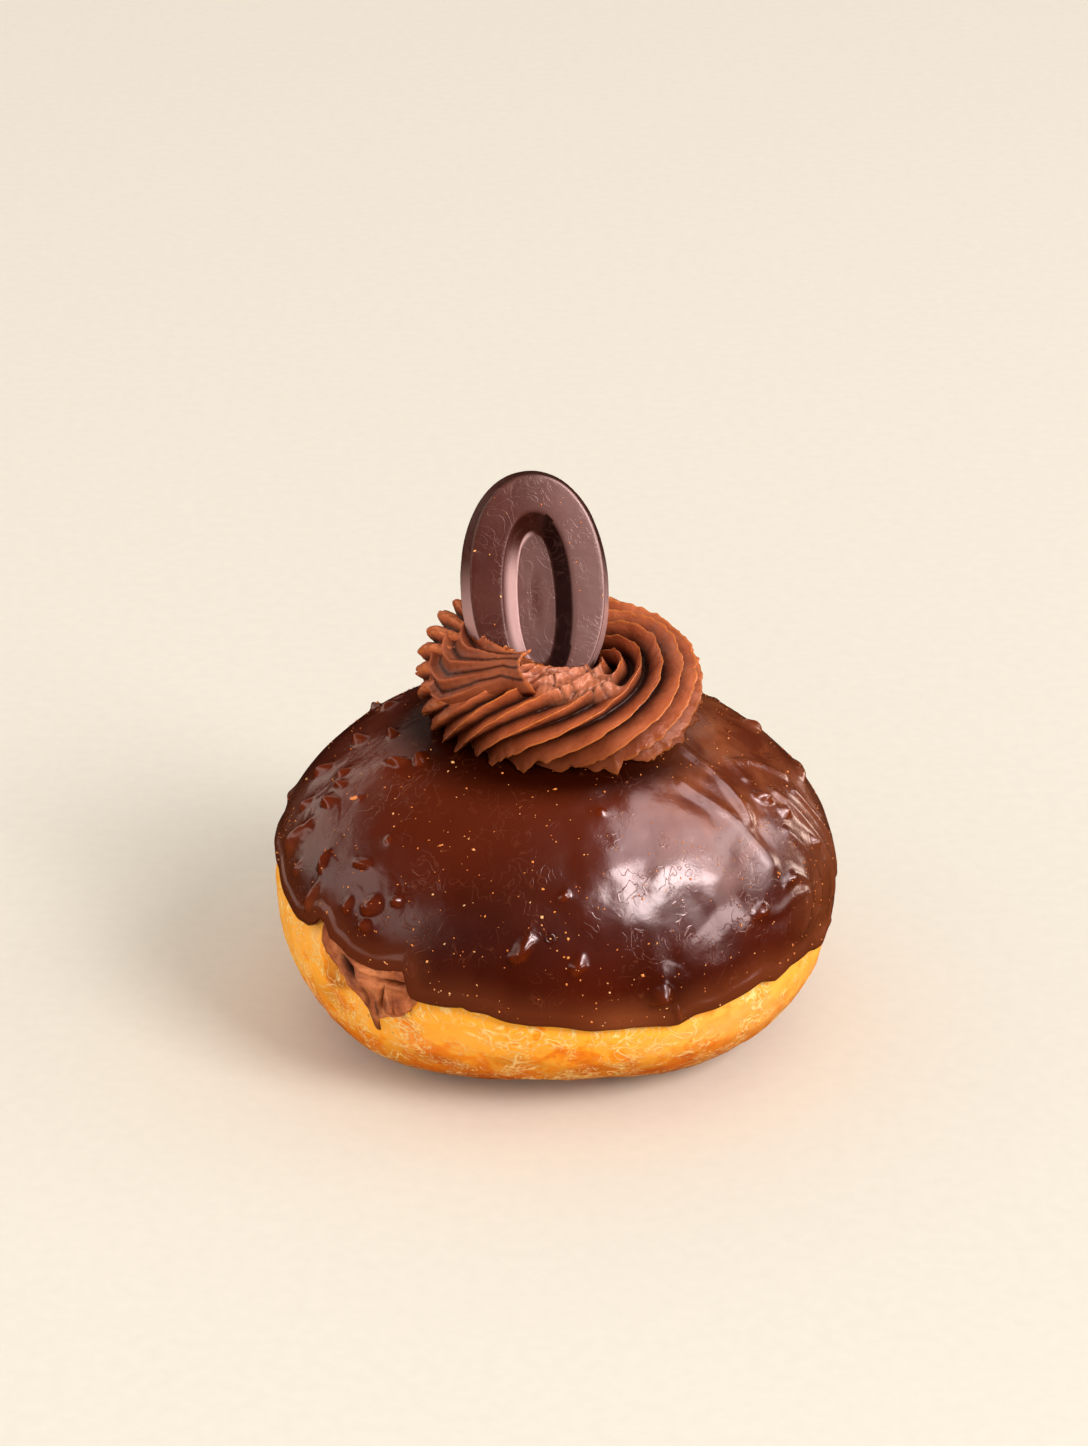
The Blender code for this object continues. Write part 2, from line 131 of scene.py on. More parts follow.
def times(tree, first, second):
    return sum_up(tree, "MULTIPLY", first, second)


def tint(tree, base, mark, strength, colour):
    """Blend a colour over the base where the mark is high, with this strength at most."""
    return mix_colour(tree, times(tree, mark, strength), base, colour)


def place_on(tree):
    """The place on the object itself, in metres."""
    return add(tree, "ShaderNodeTexCoord").outputs["Object"]


def mark_node(tree, name):
    """A number that the mesh carries at each of its points."""
    return add(tree, "ShaderNodeAttribute", attribute_name=name).outputs["Fac"]


def part_of(tree, where, axis, start, end):
    """0 at the start and 1 at the end of a stretch along an axis, even if it runs down."""
    value = add(tree, "ShaderNodeSeparateXYZ", {"Vector": where}).outputs[axis]
    return add(tree, "ShaderNodeMapRange", {
        "Value": value, "From Min": start, "From Max": end}).outputs["Result"]


def bumps(tree, height, strength, distance, under=None):
    """Small relief in the shading; `under` is a coarser relief that it lies on."""
    inputs = {"Strength": strength, "Distance": distance, "Height": height}
    if under is not None:
        inputs["Normal"] = under
    return add(tree, "ShaderNodeBump", inputs).outputs["Normal"]


def set_sockets(shader, values):
    for key, value in values.items():
        shader.inputs[key].default_value = value


def hair_lines(tree, where, size, width, seed, distortion=1.6):
    """Thin curly lines: a narrow band of a swirled noise, broken up by a second noise."""
    moved = add(tree, "ShaderNodeVectorMath", {0: where, 1: (seed, 0.3 * seed, 0.7 * seed)},
                operation="ADD").outputs["Vector"]
    swirl = noise_node(tree, moved, size, 1.0, distortion)
    band = ramp(tree, swirl, [(0.5 - width, 0.0), (0.5, 1.0), (0.5 + width, 0.0)])
    gate = ramp(tree, noise_node(tree, moved, 1.7 * size, 1.0), [(0.48, 0.0), (0.56, 1.0)])
    return times(tree, band, gate)


print("helpers made: add, ramp, noise_node, mix_colour, tint, mark_node, bumps, hair_lines")


# %% [markdown]
# The doughnut stands on a plain pale studio sweep. One wide flat plane does for it, because the
# camera looks down and never sees an edge. A faint grain keeps it from looking like flat paint. The
# plane is kept out of mirror reflections, because it would turn the edges of the dark glaze grey.

# %% Floor
FLOOR_SIZE = 3.0
floor_mesh = bpy.data.meshes.new("floor")
floor_mesh.from_pydata([(-FLOOR_SIZE, -FLOOR_SIZE, 0), (FLOOR_SIZE, -FLOOR_SIZE, 0),
                        (FLOOR_SIZE, FLOOR_SIZE, 0), (-FLOOR_SIZE, FLOOR_SIZE, 0)],
                       [], [(0, 1, 2, 3)])
floor = bpy.data.objects.new("floor", floor_mesh)
bpy.context.scene.collection.objects.link(floor)
floor_material, tree, shader = new_material("pale_floor")
where = place_on(tree)
grain = noise_node(tree, where, 0.0012, 4.0)
tree.links.new(ramp(tree, grain, [(0.3, (0.738, 0.706, 0.618)), (0.7, (0.762, 0.729, 0.640))]),
               shader.inputs["Base Color"])
set_sockets(shader, {"Roughness": 0.9, "Specular IOR Level": 0.1})
floor_mesh.materials.append(floor_material)
floor.visible_glossy = False
print("floor is", 2 * FLOOR_SIZE, "m wide")

# %% [markdown]
# The main light is a soft box high on the right, with wide weak fills on the other sides. On a
# glossy dark object the highlights matter as much as the light itself. One box could give both, but
# then neither could be moved alone. So the key light and the front fill light the surfaces without
# showing in reflections, and the boxes called shine do the opposite. The world fills the shadows
# and is kept out of mirror reflections too, so that the dark glaze stays deep.

# %% Lights
world = bpy.data.worlds.new("studio")
world.use_nodes = True
world.node_tree.nodes["Background"].inputs["Color"].default_value = (1.0, 0.95, 0.90, 1.0)
world.node_tree.nodes["Background"].inputs["Strength"].default_value = 0.66
world.cycles_visibility.glossy = False
bpy.context.scene.world = world
LIGHT_DISTANCE = 2.4


def soft_box(name, direction, width, height, radiance, colour, shine=True, light_up=True):
    """A rectangular light that faces the doughnut; radiance is how bright its face looks."""
    data = bpy.data.lights.new(name, "AREA")
    data.shape = "RECTANGLE"
    data.size = width
    data.size_y = height
    data.energy = radiance * math.pi * width * height
    data.color = colour
    light = bpy.data.objects.new(name, data)
    light.location = Vector(direction).normalized() * LIGHT_DISTANCE
    light.rotation_euler = (-Vector(direction)).to_track_quat("-Z", "Y").to_euler()
    light.visible_diffuse = light_up
    light.visible_glossy = shine
    bpy.context.scene.collection.objects.link(light)
    print(name, "shines from", [round(x, 2) for x in light.location])


soft_box("key_light", (0.57, -0.53, 0.63), 0.95, 0.95, 13.5, (1.0, 0.955, 0.945), shine=False)
soft_box("key_shine", (0.62, -0.37, 0.69), 0.95, 0.95, 15.5, (1.0, 0.95, 0.95), light_up=False)
soft_box("right_fill", (0.88, -0.10, 0.47), 2.0, 1.2, 1.65, (1.0, 0.94, 0.92))
soft_box("left_fill", (-0.88, -0.22, 0.34), 2.0, 1.05, 1.32, (1.0, 0.87, 0.79))
soft_box("front_fill", (-0.25, -0.93, 0.26), 3.0, 0.9, 1.45, (1.0, 0.93, 0.86), shine=False)
soft_box("back_light", (-0.1, 0.85, 0.50), 3.0, 0.9, 0.50, (1.0, 0.84, 0.72))
soft_box("left_rear_fill", (-0.80, 0.55, 0.24), 1.8, 1.2, 1.05, (1.0, 0.84, 0.72))
soft_box("broad_shine", (0.66, 0.02, 0.75), 1.7, 1.9, 3.6, (1.0, 0.92, 0.93), light_up=False)
soft_box("side_shine", (0.93, -0.36, 0.08), 1.1, 0.5, 8.5, (1.0, 0.86, 0.84), light_up=False)
soft_box("rim_shine", (0.82, 0.55, 0.11), 0.9, 0.5, 7.5, (1.0, 0.80, 0.68), light_up=False)

# %% [markdown]
# Nothing baked is perfectly smooth. Gradient noise gives soft, natural unevenness: every corner of
# an invisible grid holds a random direction, and the values between corners blend smoothly.

# %% Helpers for uneven surfaces
grid_draw = np.random.default_rng(5)
NOISE_TABLE = grid_draw.permutation(256)
NOISE_GRADIENTS = grid_draw.normal(size=(256, 3))
NOISE_GRADIENTS /= np.linalg.norm(NOISE_GRADIENTS, axis=1, keepdims=True)


def hash_cell(cell, seed):
    table = NOISE_TABLE
    mixed = table[(cell[..., 0] + seed) & 255]
    mixed = table[(mixed + cell[..., 1]) & 255]
    return table[(mixed + cell[..., 2]) & 255]


def noise(points, size, seed=0):
    """Smooth noise, about -1 to 1, whose bumps are `size` metres apart."""
    scaled = np.asarray(points) / size
    cell = np.floor(scaled).astype(int)
    inside = scaled - cell
    ease = inside ** 3 * (inside * (inside * 6 - 15) + 10)
    total = np.zeros(scaled.shape[:-1])
    for dx in (0, 1):
        for dy in (0, 1):
            for dz in (0, 1):
                step = np.array((dx, dy, dz))
                slope = NOISE_GRADIENTS[hash_cell(cell + step, seed)]
                value = (slope * (inside - step)).sum(-1)
                share = np.where(step, ease, 1 - ease).prod(-1)
                total += share * value
    return total * 1.6


def cells(points, size, seed=0):
    """Distances to the nearest and second nearest of points scattered `size` metres apart."""
    scaled = np.asarray(points) / size
    cell = np.floor(scaled).astype(int)
    near = np.full(scaled.shape[:-1], 9.0)
    second = near.copy()
    for dx in (-1, 0, 1):
        for dy in (-1, 0, 1):
            for dz in (-1, 0, 1):
                corner = cell + np.array((dx, dy, dz))
                shift = NOISE_GRADIENTS[hash_cell(corner, seed)] * 0.5 + 0.5
                far = np.linalg.norm(corner + shift - scaled, axis=-1)
                second = np.where(far < near, near, np.minimum(second, far))
                near = np.minimum(near, far)
    return near * size, second * size


def smooth(value, low, high):
    """0 below low, 1 above high, and an eased step between."""
    share = np.clip((value - low) / (high - low), 0.0, 1.0)
    return share * share * (3 - 2 * share)


def hump(value, low, high, ease):
    """1 between low and high, fading to 0 over `ease` outside them."""
    return smooth(value, low - ease, low) * (1 - smooth(value, high, high + ease))


def oval_share(x, z, half_width, half_length, power):
    """Distance from the middle of an oval: 1 on its outline; a power above 2 makes it fuller."""
    return (np.abs(x / half_width) ** power + np.abs(z / half_length) ** power) ** (1 / power)


print("noise is", round(float(noise(np.array([[0.3, 0.4, 0.5]]), 1.0)[0]), 3), "at a test point")


# %% [markdown]
# Most pieces here are grids: rows and columns of points wrapped round an axis. One helper joins the
# points to four-sided faces and closes the top and bottom, so every piece is a sealed solid.

# %% Helper for grid meshes
def grid_normals(grid):
    """Outward direction at each point of a grid of rows by columns that wraps round."""
    across = np.roll(grid, -1, axis=1) - np.roll(grid, 1, axis=1)
    down = np.gradient(grid, axis=0)
    normal = np.cross(down, across)
    return normal / np.maximum(np.linalg.norm(normal, axis=-1, keepdims=True), 1e-12)


def grid_faces(rows, columns, start=0):
    row = np.arange(rows - 1)[:, None] * columns
    here = np.arange(columns)[None, :]
    after = (here + 1) % columns
    quads = np.stack([row + here, row + columns + here, row + columns + after, row + after], -1)
    return (quads.reshape(-1, 4) + start).tolist()


def make_object(name, points, faces, marks=None):
    mesh = bpy.data.meshes.new(name)
    mesh.from_pydata(points.tolist(), [], faces)
    for key, values in (marks or {}).items():
        mesh.attributes.new(key, "FLOAT", "POINT").data.foreach_set(
            "value", np.asarray(values, dtype=np.float32))
    mesh.calc_loop_triangles()
    corners = np.empty(3 * len(mesh.loop_triangles), dtype=np.int32)
    mesh.loop_triangles.foreach_get("vertices", corners)
    a, b, c = np.asarray(points)[corners.reshape(-1, 3)].transpose(1, 0, 2)
    if (a * np.cross(b, c)).sum() < 0:
        mesh.flip_normals()
    mesh.shade_smooth()
    thing = bpy.data.objects.new(name, mesh)
    bpy.context.scene.collection.objects.link(thing)
    print(name, "has", len(points), "points and", len(faces), "faces")
    return thing


def closed_grid(name, grid, top, bottom, marks=None):
    """A grid of rows from top to bottom with a pole above the first row and below the last."""
    rows, columns = grid.shape[:2]
    points = np.concatenate([grid.reshape(-1, 3), [top], [bottom]])
    faces = grid_faces(rows, columns)
    first_pole = rows * columns
    last_row = (rows - 1) * columns
    for i in range(columns):
        j = (i + 1) % columns
        faces.append((first_pole, i, j))
        faces.append((first_pole + 1, last_row + j, last_row + i))
    padded = {key: np.concatenate([np.asarray(values).ravel(), [0.0, 0.0]])
              for key, values in (marks or {}).items()}
    return make_object(name, points, faces, padded)


print("a grid of 3 rows by 4 columns has", len(grid_faces(3, 4)), "faces")


# %% [markdown]
# The bun and its glaze share one shape: half an ellipse above the widest level and a fuller belly
# below, down to the flat spot that it rests on. It is a hair wider in some directions than others.

# %% Shape of the body
BODY_RADIUS = 42.7 * MM
WIDEST_LEVEL = 24.7 * MM
BODY_RISE = 28.0 * MM
FOOT_RADIUS = 18.3 * MM
FOOT_SHIFT = (-1.5 * MM, 1.2 * MM)
FOOT_CORNERS = 2.5 * MM
BELLY_POWER = 2.31
BELLY_POWER_SIDES = 0.29
BELLY_SAG = 0.019
GAP = 0.3 * MM


def unevenness(angle):
    turn = np.radians(angle)
    return 0.006 * np.sin(2 * turn + 0.8) + 0.005 * np.sin(3 * turn + 2.0)


def foot_radius(angle):
    turn = np.radians(angle)
    shift = FOOT_SHIFT[0] * np.cos(turn) + FOOT_SHIFT[1] * np.sin(turn)
    return FOOT_RADIUS + shift - FOOT_CORNERS * np.cos(4 * turn)


def belly_power(angle):
    return BELLY_POWER + BELLY_POWER_SIDES * np.cos(2 * np.radians(angle))


def latitude_of(height, angle):
    up = np.clip((height - WIDEST_LEVEL) / BODY_RISE, 0, 1)
    drop = np.clip((WIDEST_LEVEL - height) / WIDEST_LEVEL, 0, 1)
    below = -np.arcsin(drop ** (belly_power(angle) / 2))
    return np.degrees(np.where(height >= WIDEST_LEVEL, np.arcsin(up), below))


def body_point(angle, latitude, inset=0.0):
    tilt = np.radians(latitude)
    turn = np.radians(angle)
    foot = foot_radius(angle)
    power = 2 / belly_power(angle)
    cosine = np.clip(np.cos(tilt), 0, 1)
    sunk = np.clip(-np.sin(tilt), 0, 1)
    sag = 1 + BELLY_SAG * np.cos(turn) * np.clip(2 * sunk, 0, 1)
    radius = np.where(tilt >= 0, (BODY_RADIUS - inset) * cosine,
                      (foot + (BODY_RADIUS - inset - foot) * cosine ** power) * sag)
    height = np.where(tilt >= 0, WIDEST_LEVEL + (BODY_RISE - inset) * np.sin(tilt),
                      WIDEST_LEVEL * (1 - sunk ** power))
    radius = radius * (1 + unevenness(angle))
    return np.stack([radius * np.cos(turn), radius * np.sin(turn), height], -1)


print("body is", round(2000 * BODY_RADIUS, 1), "mm wide")

# %% [markdown]
# The glaze was poured over the top and ran down to a wavy dipping line. The line is a list of
# places round the doughnut. On the left it ends in a fat drip, and beside it the glaze stops short
# and lets the filling out.

# %% Dipping line
GLAZE_EDGE = np.array([  # (angle, height in mm)
    (8, 22.0), (24, 20.6), (42, 23.4), (63, 21.8), (85, 24.8), (105, 23.2), (127, 26.0),
    (146, 24.8), (168, 27.6), (185, 28.9), (193.8, 28.8), (200.2, 27.4), (204.7, 26.6),
    (208.3, 26.1), (212.2, 26.5), (214.3, 27.6), (216.3, 29.1), (218.4, 28.7), (220.5, 26.8),
    (224.0, 26.3), (226.1, 25.6), (229.7, 25.3), (233.4, 25.4), (236.4, 25.7), (239.7, 26.3),
    (240.3, 24.5), (240.9, 22.5), (242.5, 22.3), (245.4, 22.2), (248.4, 22.3), (252, 22.7),
    (253.7, 22.0), (257.1, 21.9), (261.4, 21.0), (265.5, 20.4), (269.7, 20.3), (274.2, 19.7),
    (278.6, 19.3), (283.2, 18.9), (286.4, 19.0), (292.1, 18.5), (296.0, 18.1), (299.9, 18.9),
    (304.8, 19.1), (311.9, 19.9), (316.6, 20.3), (321.2, 19.4), (326, 20.2), (333.5, 19.8),
    (341.5, 18.2), (349.4, 20.8)])


def glaze_edge(angle):
    """Height of the dipping line, in metres."""
    places = np.concatenate([GLAZE_EDGE[-1:] - (360, 0), GLAZE_EDGE, GLAZE_EDGE[:1] + (360, 0)])
    turned = np.mod(angle, 360.0)
    line = np.interp(turned, places[:, 0], places[:, 1])
    wobble = 0.12 * np.sin(np.radians(turned * 23)) + 0.08 * np.sin(np.radians(turned * 41 + 50))
    return (line + wobble) * MM


print("dipping line runs from", GLAZE_EDGE[:, 1].min(), "to", GLAZE_EDGE[:, 1].max(), "mm up")

# %% [markdown]
# Under the glaze sit bits of nut and crumb. Each one shows as a steep little hill with a softer
# skirt where the glaze pooled round it. They could be left to a noise, but the clear ones are large
# enough to be known by their place. So a list says where they are, how wide, how high and which way
# they lie, and a seeded draw scatters similar ones over the back.

# %% Lumps under the glaze
LUMPS = [  # (angle, height, length, width, turn in degrees, rise), sizes in mm
    (197.7, 35.0, 2.9, 1.6, 70, 1.2), (198.8, 40.8, 1.6, 0.9, 10, 0.8),
    (196.1, 42.6, 1.3, 0.6, 20, 0.6), (192.0, 43.3, 1.0, 0.7, 80, 0.6),
    (177.5, 45.0, 1.7, 1.0, 20, 0.9), (205.5, 47.2, 1.9, 0.8, 25, 0.9),
    (211.5, 48.3, 1.5, 0.8, -25, 0.8), (211.7, 35.7, 1.5, 0.8, -60, 0.7),
    (222.7, 38.1, 1.6, 0.6, 15, 0.55), (213.1, 30.9, 2.2, 0.8, 80, 0.9),
    (223.7, 32.6, 1.1, 0.8, 50, 0.7), (229.8, 33.9, 1.7, 1.1, 30, 0.9),
    (229.6, 31.2, 1.1, 0.7, 10, 0.9), (235.4, 35.6, 0.8, 0.6, 0, 0.8),
    (264.0, 32.1, 2.2, 1.0, 50, 1.1), (275.1, 30.0, 1.4, 1.0, 40, 0.8),
    (291.9, 23.8, 1.6, 1.3, 10, 1.4), (295.5, 20.4, 1.2, 0.5, -70, 0.6),
    (272.7, 38.7, 0.8, 0.5, 30, 0.5), (338.4, 42.0, 1.6, 0.9, -40, 0.8),
    (340.9, 39.4, 1.4, 0.8, -20, 0.8), (317.7, 31.4, 1.6, 0.7, 5, 0.8),
    (207.3, 43.3, 0.7, 0.5, 0, 0.3), (226.0, 41.5, 0.6, 0.5, 0, 0.3),
    (186.0, 47.8, 1.2, 0.7, 10, 0.8), (182.0, 41.0, 1.6, 0.9, 70, 0.8),
    (190.0, 38.0, 1.3, 0.8, 60, 0.6), (196.0, 50.0, 1.0, 0.7, 0, 0.6),
    (204.0, 32.5, 1.2, 0.8, 70, 0.5), (330.0, 33.0, 0.8, 0.6, 20, 0.5),
    (345.0, 33.5, 1.2, 0.7, -60, 0.7), (285.5, 46.5, 0.7, 0.5, 0, 0.3),
]
BACK_LUMPS = 22
draw = random.Random(11)
for k in range(BACK_LUMPS):
    LUMPS.append((2 + 172 * (k + draw.random()) / BACK_LUMPS, draw.uniform(27, 47),
                  draw.uniform(0.9, 2.0), draw.uniform(0.7, 1.1), draw.uniform(-90, 90),
                  draw.uniform(0.3, 0.75)))
print("there are", len(LUMPS), "lumps")

# %% [markdown]
# The glaze is the piece that catches the most light, so its waves matter more than its colour. The
# outer face is a fine grid, finer in front than behind. Sculpting it by hand would do too, but a
# formula can be changed and run again.

# %% Glaze grid
GLAZE_THICKNESS = 1.5 * MM
LIP = 0.9 * MM
FRONT_COLUMNS = 400
BACK_COLUMNS = 160
FINE_ROWS = 150
angles = np.concatenate([np.linspace(180, 360, FRONT_COLUMNS, endpoint=False),
                         np.linspace(0, 180, BACK_COLUMNS, endpoint=False)])
angles = np.roll(angles, BACK_COLUMNS)
shares = np.concatenate([np.linspace(0.03, 0.2, 9), np.linspace(0.22, 1.0, FINE_ROWS)])


def glaze_grid(row_shares, inset=0.0, margin=0.0):
    edge = latitude_of(glaze_edge(angles) - margin, angles)
    latitude = 90 + (edge[None, :] - 90) * np.asarray(row_shares)[:, None]
    return body_point(angles[None, :], latitude, inset)


outer = glaze_grid(shares)
outward = grid_normals(outer)
print("glaze grid has", outer.shape[0], "rows and", outer.shape[1], "columns")

# %% [markdown]
# A lump rises as a hill with steep sides that covers its bit of nut, and the glaze between close
# lumps stands a little higher, which is what the skirts add. Hills take the highest of their
# neighbours, so that they stay separate; skirts are summed.

# %% Heights of the lumps
LUMP_RISE = 1.25
LUMP_POWER = 2.6
SKIRT_SHARE = 0.22


def lump_heights(points, normals):
    """Height that the lumps add at each point, and its amber share: a tint and a painted glow."""
    hills = np.zeros(points.shape[:-1])
    skirts = np.zeros_like(hills)
    topness = np.zeros_like(hills)
    for angle, height, length, width, turn, rise in LUMPS:
        rise = LUMP_RISE * rise
        centre = body_point(angle, latitude_of(height * MM, angle))
        offset = points - centre
        near = np.linalg.norm(offset, axis=-1) < 3.2 * length * MM
        if not near.any():
            continue
        way = math.radians(angle)
        sideways = np.array((-math.sin(way), math.cos(way), 0.0))
        upward = np.cross(normals[near], sideways)
        upward /= np.linalg.norm(upward, axis=-1, keepdims=True)
        across = (offset[near] * sideways).sum(-1)
        up = (offset[near] * upward).sum(-1)
        up = np.where(up > 0, 0.75 * up, up)  # the glaze piles up above a lump
        tilt = math.radians(turn)
        along = across * math.cos(tilt) + up * math.sin(tilt)
        aside = up * math.cos(tilt) - across * math.sin(tilt)
        reach = oval_share(along, aside, length * MM, width * MM, LUMP_POWER)
        reach = reach * (1 + 0.15 * noise(points[near], 1.3 * MM, int(angle * 7)))
        slope = 1 - 0.25 * along / (length * MM)
        hill = smooth(-reach, -1.40, -0.05) * rise * MM * np.clip(slope, 0.6, 1.4)
        skirt = SKIRT_SHARE * rise * MM * np.exp(-(reach / 2.0) ** 2)
        hills[near] = np.maximum(hills[near], hill)
        skirts[near] += skirt
        # A faint amber tint over each lump, and a painted glow low on its side.
        up_hill = smooth(-reach, -1.30, -0.35)
        low_side = 0.05 + 0.95 * smooth(-up / (width * MM), 0.0, 0.8)
        glow = up_hill * (0.45 + 2.2 * (1 - up_hill) * low_side)
        topness[near] = np.maximum(topness[near], glow)
    return hills + skirts, topness


lumps, topness = lump_heights(outer, outward)
print("lumps rise by up to", round(float(lumps.max()) / MM, 2), "mm")

# %% [markdown]
# Where thick glaze crept down and set it lies in folds, mostly at the right. A fold is a ridge
# along a line of places, with a round section. Lines are easier to place than single bumps.

# %% Folds
FOLDS = [  # ridges of thick glaze: (rise in mm, half width in mm, [(angle, height in mm), ...])
    (0.60, 0.8, [(334.7, 49.5), (332.5, 46.5), (329.6, 43.1), (327.5, 41.5)]),
    (0.80, 0.7, [(343.7, 41.5), (346.5, 37.0), (348.5, 33.0), (349.8, 27.9), (349, 24)]),
    (0.70, 0.6, [(352.0, 39.5), (354.5, 35.0), (356, 30.0), (354.5, 25)]),
    (0.45, 0.7, [(318.5, 30.4), (324, 30.0), (329, 30.6), (333, 30.0), (334, 28.0)]),
    (0.42, 0.6, [(327.5, 33.0), (332, 33.2), (335.5, 31.0), (334.5, 27.5), (331, 24.5)]),
    (0.50, 0.6, [(338, 25.0), (342, 23.0), (345, 20.6)]),
    (0.55, 0.7, [(340, 44.5), (344, 46.0), (350, 45.0), (356, 41.0)]),
    (0.45, 0.6, [(336, 38.0), (339, 35.0), (341, 31.0), (340, 27.0)]),
    (0.40, 0.9, [(318, 47.0), (322, 44.0), (325, 40.0), (326, 36.0)]),
]
FOLD_RISE = 0.8
FOLD_WIDTH = 1.3


def fold_heights(points):
    total = np.zeros(points.shape[:-1])
    for rise, half, line in FOLDS:
        path = np.array([body_point(a, latitude_of(h * MM, a)) for a, h in line])
        best = np.full(points.shape[:-1], 1.0)
        for start, end in zip(path[:-1], path[1:]):
            run = end - start
            t = np.clip(((points - start) @ run) / (run @ run), 0, 1)
            best = np.minimum(best, np.linalg.norm(points - start - t[..., None] * run, axis=-1))
        total += FOLD_RISE * rise * MM * np.exp(-(best / (FOLD_WIDTH * half * MM)) ** 2)
    return total


folds = fold_heights(outer)
print(len(FOLDS), "folds rise by up to", round(float(folds.max()) / MM, 2), "mm")

# %% [markdown]
# Three sizes of noise make the broad waves that break up the shine. Waves, lumps and folds are
# added along the outward direction, and fade out towards the edge, where a bead of glaze has
# gathered. The rows end in a rounded lip and turn back along a coarse inner face, because real
# glaze has a thickness.

# %% Glaze mesh
away = np.hypot(outer[..., 0], outer[..., 1])
hidden = smooth(away, 17 * MM, 23 * MM)
right_front = smooth(outer[..., 0] - 0.4 * outer[..., 1], 0.0, 30 * MM)
waves = (0.20 + 0.18 * right_front) * noise(outer, 12 * MM, 3)
waves += (0.10 + 0.19 * right_front) * noise(outer, 6.5 * MM, 8)
waves += (0.030 + 0.052 * right_front) * noise(outer, 3.2 * MM, 12)
edge_line = outer[-1]
FIRST_EDGE_ROW = 90  # the rows above it are too far from the edge to feel it
edge_distance = np.full(away.shape, 1.0)
for row in range(FIRST_EDGE_ROW, len(outer)):
    gaps = outer[row][:, None, :] - edge_line[None, :, :]
    edge_distance[row] = np.sqrt((gaps ** 2).sum(-1).min(1))
bead = 0.30 * MM * hump(edge_distance / MM, 0.8, 1.5, 1.3)
fade = 0.2 + 0.8 * smooth(edge_distance / MM, 0.0, 2.0)
rise = (waves * MM * hidden + lumps * hidden + folds) * fade + bead
shell = outer + outward * rise[..., None]
lip_rows = [glaze_grid([1.0], LIP * (1 - math.cos(t)), LIP * 0.55 * math.sin(t))
            for t in (0.35, 0.75, 1.2, 1.6)]
lip_rows.append(glaze_grid([1.0], GLAZE_THICKNESS, 0.1 * MM))
inner = glaze_grid([0.8, 0.6, 0.4, 0.2, 0.05], GLAZE_THICKNESS)
glaze_all = np.concatenate([shell] + lip_rows + [inner])
print("waves, lumps and folds reach", round(float(rise.max()) / MM, 2), "mm off the smooth body")

# %% [markdown]
# A finish needs to know where the glaze is thin at its edge, where the lumps get a painted glow,
# where a painted sheen runs down its sides and where painted shade lies beside the ring. Each point
# of the mesh carries that as a number, a mark, which the finish reads later. Painting it by hand
# would need a picture; a formula of the place doesn't.

# %% Marks on the glaze
# Amber on the lumps: a faint tint over each and a painted glow low on its side.
amber = np.zeros(glaze_all.shape[:2])
amber[:len(shell)] = topness * hidden
# Painted shade on the glaze beside the ring of cream, deepest to its front left; it also dulls the
# shine there.
painted_ring_shade = np.zeros(glaze_all.shape[:2])
from_ring = np.hypot(outer[..., 0] - 1.3 * MM, outer[..., 1])
left_front = smooth(-outer[..., 1] - 0.5 * outer[..., 0], -10 * MM, 12 * MM)
painted_ring_shade[:len(shell)] = (0.20 + 0.80 * left_front) * (
    1 - smooth(from_ring, 21.0 * MM, (26.0 + 3.0 * smooth(-outer[..., 0], 0.0, 14 * MM)) * MM))
# Warmer where the glaze runs thin at its edge, and a painted sheen down the far right and far left
# sides.
thin_rim_and_side_sheen = np.zeros(glaze_all.shape[:2])
near_edge = 1 - smooth(edge_distance / MM, 1.2, 7.0)
rim_warmth_and_side_sheen = near_edge * (0.55 * hump(angles, 200, 284, 12) + 0.75 * hump(angles, 284, 350, 12))
rim_warmth_and_side_sheen = np.maximum(rim_warmth_and_side_sheen, 1.1 * smooth(outer[..., 0], 33 * MM, 41 * MM))
thin_rim_and_side_sheen[:len(shell)] = np.maximum(rim_warmth_and_side_sheen, 0.75 * smooth(-outer[..., 0], 34 * MM, 42 * MM))
glaze = closed_grid("chocolate_glaze_skin", glaze_all, (0, 0, WIDEST_LEVEL + BODY_RISE),
                    (0, 0, WIDEST_LEVEL + BODY_RISE - GLAZE_THICKNESS),
                    {"amber": amber, "painted_ring_shade": painted_ring_shade, "thin_rim_and_side_sheen": thin_rim_and_side_sheen})
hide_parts("glaze")
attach(glaze, "root")

# %% [markdown]
# Chocolate glaze is nearly black in its depths and red-brown where it is thin. A picture of glaze
# could be wrapped round it, but mixing the colour from noise and from marks on the mesh keeps it
# sharp at any distance. It turns lighter and redder towards the top, and a painted sheen of lighter
# patches lies at the top right. The marks tint the lumps amber with a painted glow low on their
# sides, paint shade on the glaze beside the ring of cream, warm its thin edge and paint a sheen
# down its far sides; fine curly scratches catch the light.

# %% Glaze finish
material, tree, shader = new_material("dark_glaze")
where = place_on(tree)
cloud = noise_node(tree, where, 9 * MM, 3.0)
base = ramp(tree, cloud, [(0.35, (0.038, 0.0035, 0.0004)), (0.65, (0.068, 0.0065, 0.0008))])
# Lighter and redder towards the top.
upper_share = part_of(tree, where, "Z", 34 * MM, 47 * MM)
base = tint(tree, base, upper_share, 0.45, (0.180, 0.023, 0.0026))
# Painted sheen: lighter brown patches at the top right.
far_right = part_of(tree, where, "X", 8 * MM, 26 * MM)
patches = ramp(tree, noise_node(tree, where, 3.4 * MM, 4.0, 0.6), [(0.36, 0.15), (0.64, 1.0)])
top_right_sheen = times(tree, times(tree, upper_share, far_right), 0.92)
top_right_sheen = times(tree, top_right_sheen, patches)
base = mix_colour(tree, top_right_sheen, base, (0.330, 0.088, 0.028))
